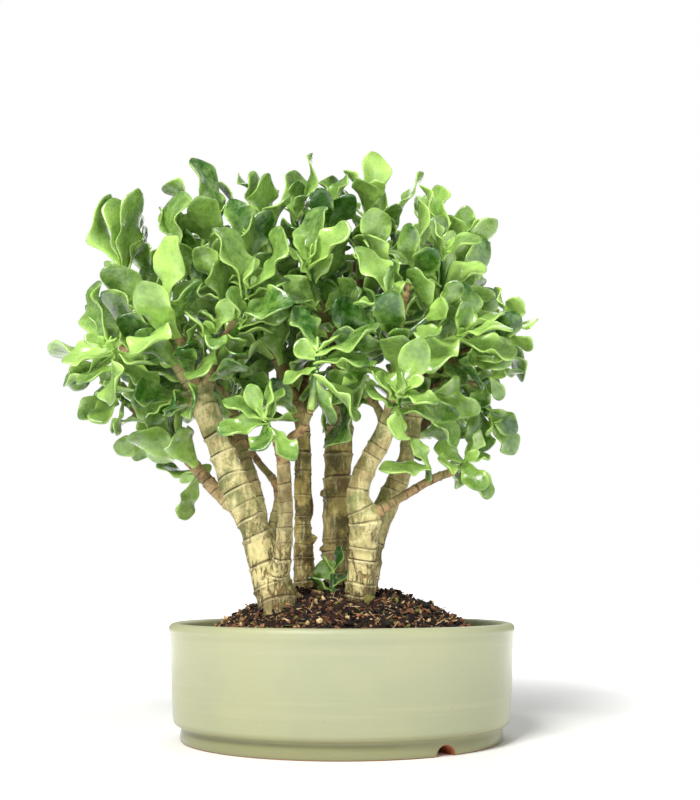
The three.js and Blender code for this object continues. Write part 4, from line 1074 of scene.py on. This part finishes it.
def grow_shoot(name, leaves, tones, stem=None):
    """The mesh of a shoot: leaf sheets thickened and rounded, and any stem that they stand on."""
    bm = bmesh.new()
    for mark in MARKS:
        bm.verts.layers.float.new(mark)
    bm.verts.layers.deform.verify()
    for leaf, (tone, age) in zip(leaves, tones):
        add_leaf(bm, leaf, tone, age)
    sheet = show("leaf_sheets", to_mesh(bm, "leaf_sheets"))
    for paint in LEAF_PAINTS:
        sheet.data.materials.append(paint.material)
    sheet.vertex_groups.new(name="thickness")
    flesh = sheet.modifiers.new("flesh", "SOLIDIFY")
    flesh.thickness, flesh.offset = BLADE_THICKNESS * MM, 0
    flesh.vertex_group, flesh.thickness_vertex_group = "thickness", 0.3
    flesh.material_offset, flesh.material_offset_rim = 1, 2
    rounding = sheet.modifiers.new("rounding", "SUBSURF")
    rounding.levels = rounding.render_levels = 1
    mesh = take_mesh(sheet)
    if stem is None:
        return mesh
    bm = bmesh.new()
    bm.from_mesh(mesh)
    bpy.data.meshes.remove(mesh)
    old = set(bm.faces)

    def radius_at(t):
        node = 0.25 * math.exp(-((t * stem.length / STEM_RING % 1 - 0.5) / 0.16) ** 2)
        return (stem.radius(t) + node) * math.sqrt(max(0.06, 1 - max(0, (t - 0.9) / 0.1) ** 2))
    verts = tube(bm, stem, STEM_SIDES, max(6, round(stem.length / 2.2)), radius_at)
    along, rings = (bm.verts.layers.float[mark] for mark in ("along", "rings"))
    chord = Vector((stem.tip - stem.root) * MM)
    for vert in verts:
        vert[along] = (vert.co - metres(stem.root)).dot(chord) / chord.length_squared
        vert[rings] = vert[along] * stem.length / STEM_RING
    made = [face for face in bm.faces if face not in old]
    for face in made:
        face.material_index = LEAF_PAINTS.index(green_stem)
    bmesh.ops.recalc_face_normals(bm, faces=made)
    return to_mesh(bm, "leaves_" + name)


YOUNG_CLEAR = (2.6, 1.0)                # mm from other leaves, and from those of the same shoot
leaf_rng = np.random.default_rng(409)


def young_leaves(shoot):
    """Tiny leaves at a shoot's tip, still folded up, wherever there is room for them."""
    made, start = [], leaf_rng.uniform(0, 360)
    for number in range(6):
        pair = number // 2
        curl, phase = leaf_rng.uniform(-0.05, 0.12), leaf_rng.uniform(0, 6.28)
        leaf = Leaf(shoot.name, shoot.stem.at(0.98), curl, phase)
        leaf.spread(shoot.stem.along(1), start + 180 * (number % 2) + 78 * pair, 16 + 15 * pair,
                    8.0 + 3.4 * pair + leaf_rng.uniform(-1, 1), 0.52)
        if is_clear(leaf, *YOUNG_CLEAR):
            made.append(leaf)
    return made


for shoot in shoots:
    tones = []
    for leaf in shoot.leaves:
        youth = 1 - min(1.0, leaf.length / 42)
        # The tone is the shoot's lightness, partly age and partly painted light and shade, raised for a
        # young leaf and varied at random.
        tone = shoot.light + 0.28 * (youth - 0.35) + leaf_rng.uniform(-0.28, 0.28)
        tones.append((tone, 1 - youth + leaf_rng.uniform(-0.3, 0.3)))
    young = young_leaves(shoot)
    tones += [(min(1.0, shoot.light + 0.3), 0.0)] * len(young)
    mesh = grow_shoot(shoot.name, shoot.leaves + young, tones, shoot.stem)
    slot, node = ("young_leaf", "sprout") if shoot.name == "sprout" else ("leaf", "shoot_" + shoot.name)
    dress("leaves_" + shoot.name, mesh, LEAF_PAINTS, slot, [node])

# Inner leaves
# Older leaves in opposite pairs on the thin limbs inside the crown, darker and duller than those
# of the shoots; their darker tone is partly age and partly painted shade inside the crown. Each
# grows from the limb's own skin, and is left out where it would touch another.

INNER_STEP = 5.5                        # mm of limb from one pair to the next
INNER_THICKEST = 5.2                    # thicker limbs have shed their leaves
LOWEST_BASE = 186.0
LOWEST_ON = {"a.low": 148.0, "d.right": 147.0, "e.rear_low": 172.0}
TIP_DROP = 12.0                         # how far a leaf may hang below the lowest base
CROWN_MIDDLE = np.array([-6.0, 0, 236.0])
CROWN_REACH = np.array([140.0, 96.0, 106.0])
CROWN_SQUARENESS = 4
INNER_TRIES = ((0, 1), (25, 0.95), (-25, 0.95), (50, 0.85), (-50, 0.85), (0, 0.75), (30, 0.6))
INNER_CLEAR = (2.8, 2.3)                # mm from other leaves, and from other inner leaves

inner_rng = np.random.default_rng(5)


def grow_inner_leaf(limb, t, azimuth, lowest):
    """A leaf on a limb at t, shorter or turned until it is clear of everything, or None."""
    axis = limb.along(t)
    spread = inner_rng.uniform(38, 72) - 14 * t
    length = inner_rng.uniform(24, 42)
    curl, phase = inner_rng.uniform(-0.1, 0.16), inner_rng.uniform(0, 2 * math.pi)
    for swing, shrink in INNER_TRIES:
        skin = limb.at(t) + spoke(axis, azimuth + swing) * 0.7 * limb.radius(t)
        leaf = Leaf("inner", skin, curl, phase)
        leaf.spread(axis, azimuth + swing, spread, length * shrink)
        tip = leaf.points(1.0, 0)
        inside = np.sum(((tip - CROWN_MIDDLE) / CROWN_REACH) ** CROWN_SQUARENESS) < 1
        if inside and tip[2] > lowest - TIP_DROP and is_clear(leaf, *INNER_CLEAR):
            return leaf
    return None


for trunk in TRUNK_PIECES:
    inner_leaves = []
    for name, limb in limbs_of(trunk).items():
        lowest = LOWEST_ON.get(name, LOWEST_BASE)
        run, quarter = 5.0, inner_rng.uniform(0, 360)
        while run < limb.length:
            t = run / limb.length
            run += INNER_STEP * inner_rng.uniform(0.8, 1.25)
            quarter += 90 + inner_rng.uniform(-25, 25)
            if limb.radius(t) < INNER_THICKEST and limb.at(t)[2] > lowest:
                inner_leaves += [grow_inner_leaf(limb, t, quarter + half, lowest) for half in (0, 180)]
    inner_leaves = [leaf for leaf in inner_leaves if leaf]
    # Low tones: partly older leaves and partly painted shade inside the crown.
    tones = [(inner_rng.uniform(0.05, 0.65), inner_rng.uniform(0.2, 1)) for leaf in inner_leaves]
    mesh = grow_shoot("inner_" + trunk, inner_leaves, tones)
    dress("leaves_inner_" + trunk, mesh, LEAF_PAINTS, "leaf")

# Soil
# A mound of dark, moist peat mix with bits of bark, a few green and ochre flecks and pale root
# hairs. It fills the pot and rises above its rim round the trunks.

SOIL_EDGE = 46.0
SOIL_PEAK = 83.0
SOIL_SHOULDER = 2.0
SOIL_ROUGHNESS = 1.4
SOIL_CELLS = 150
SOIL_BASE = 15.35
CRUMBS = 7600
FIBRES = 1100
BATCH = 200                             # an operator slows down as its mesh grows
soil_radius = inner_bottom + INNER_TAPER * (SOIL_EDGE - WALL_FOOT) / (WALL_HEAD - WALL_FOOT) - 0.6
crumb_rng = np.random.default_rng(88)


def on_soil(x, y, share=1.0, lift=0.0):
    """A place on the mound's loose surface, with a share of its looseness."""
    out = np.hypot(x, y) / inner_top
    crumbs = np.sin(x * 0.21 + 1) * np.cos(y * 0.26) + 0.7 * np.sin(x * 0.47 + y * 0.39)
    mound = (SOIL_PEAK - SOIL_EDGE) * (1 - np.minimum(out, 1) ** SOIL_SHOULDER)
    spot = Vector((x, y, 3.0))
    grain = 1.6 * noise.fractal(spot * 0.16, 0.8, 2.1, 4) + 3.4 * abs(noise.noise(spot * 0.33))
    grain += 1.1 * noise.noise(spot * 0.9) - 0.5
    height = SOIL_EDGE + mound + SOIL_ROUGHNESS * crumbs * (1 - out * out)
    return metres([x, y, height + grain * share + lift])


bm = bmesh.new()
verts = bmesh.ops.create_grid(bm, x_segments=SOIL_CELLS, y_segments=SOIL_CELLS, size=1)["verts"]
for vert in verts:
    a, b = vert.co.x, vert.co.y
    x = soil_radius * a * math.sqrt(1 - b * b / 2)
    y = soil_radius * b * math.sqrt(1 - a * a / 2) * POT_DEPTH / POT_LENGTH
    out = math.hypot(x, y * POT_LENGTH / POT_DEPTH) / soil_radius
    vert.co = on_soil(x, y, min(1.0, 6 * (1.02 - out)))
border = [e for e in bm.edges if e.is_boundary]
side = bmesh.ops.extrude_edge_only(bm, edges=border)["geom"]
centre = metres([0, 0, 0])
for vert in side:
    if isinstance(vert, bmesh.types.BMVert):
        vert.co = centre + (vert.co - centre) * ((inner_bottom - 2) / soil_radius)
        vert.co.z = SOIL_BASE * MM
bmesh.ops.holes_fill(bm, edges=[e for e in bm.edges if e.is_boundary], sides=0)
bmesh.ops.recalc_face_normals(bm, faces=bm.faces)
peat = Paint("peat", Roughness=0.95)
peat.set(Base_Color=peat.over(
    tint(8, 4, 2), (peat.noise(150, 5, 0.65).ramp(0.35, 0.65), 60, 32, 19),
    (peat.noise(420, 4).ramp(0.58, 0.72) * 0.6, 138, 88, 58),
    (peat.noise(60).ramp(0.6, 0.72) * 0.35, 96, 92, 42)))
peat.raise_by(peat.noise(700, 6, 0.7), 0.002)
dress("soil_mound", to_mesh(bm, "soil_mound"), [peat], "soil", ["soil"])


def scattered(lift):
    """A random place on the mound, more often where it shows above the rim."""
    angle = crumb_rng.uniform(0, 2 * math.pi)
    out = crumb_rng.uniform(0, 1) ** 0.55 * (soil_radius - 3)
    x, y = out * math.cos(angle), out * math.sin(angle) * POT_DEPTH / POT_LENGTH
    return Matrix.Translation(on_soil(x, y, lift=lift))


def add_crumb(bm):
    size = crumb_rng.lognormal(0.0, 0.6) * 0.56
    shape = Matrix.Diagonal((size * crumb_rng.uniform(0.7, 2.2), size * crumb_rng.uniform(0.5, 1.1),
                             size * crumb_rng.uniform(0.35, 0.8), 1))
    turn = Matrix.Rotation(crumb_rng.uniform(0, 6.28), 4, Vector(crumb_rng.normal(size=3)).normalized())
    place = scattered(size * 0.3) @ turn @ shape
    verts = bmesh.ops.create_icosphere(bm, subdivisions=1, radius=MM, matrix=place)["verts"]
    for vert in verts:
        vert.co += Vector(crumb_rng.normal(size=3)) * size * 0.24 * MM
    return verts, crumb_rng.uniform(0, 1)


def add_fibre(bm):
    lying = Matrix.Rotation(math.radians(90 + crumb_rng.normal(0, 22)), 4, "X")
    turn = Matrix.Rotation(crumb_rng.uniform(0, 6.28), 4, "Z") @ lying
    thick = crumb_rng.uniform(0.16, 0.4) * MM
    made = bmesh.ops.create_cone(bm, cap_ends=True, segments=4, radius1=thick, radius2=0.4 * thick,
                                 depth=crumb_rng.uniform(2.5, 9) * MM, matrix=scattered(0.5) @ turn)
    return made["verts"], crumb_rng.uniform(0.75, 1.0)


crumb = Paint("peat_crumbs", Roughness=0.9)
kind = crumb.given("tone")
crumb.set(Base_Color=crumb.over(
    tint(9, 5, 3), (kind.ramp(0.45, 1), 196, 132, 86), (kind.ramp(0.85, 0.88), 238, 204, 152),
    (kind.ramp(0.93, 0.95), 128, 124, 58), (crumb.noise(600, 4).ramp(0.4, 0.7) * 0.5, 52, 34, 24)))
crumb.raise_by(crumb.noise(1200, 4), 0.0008)
for name, count, add_piece in (("soil_crumbs", CRUMBS, add_crumb), ("soil_fibres", FIBRES, add_fibre)):
    whole = bmesh.new()
    for start in range(0, count, BATCH):
        bm = bmesh.new()
        tone_layer = bm.verts.layers.float.new("tone")
        for number in range(start, min(count, start + BATCH)):
            verts, tone = add_piece(bm)
            for vert in verts:
                vert[tone_layer] = tone
        part = to_mesh(bm, "part")
        whole.from_mesh(part)
        bpy.data.meshes.remove(part)
    dress(name, to_mesh(whole, name), [crumb], "soil")
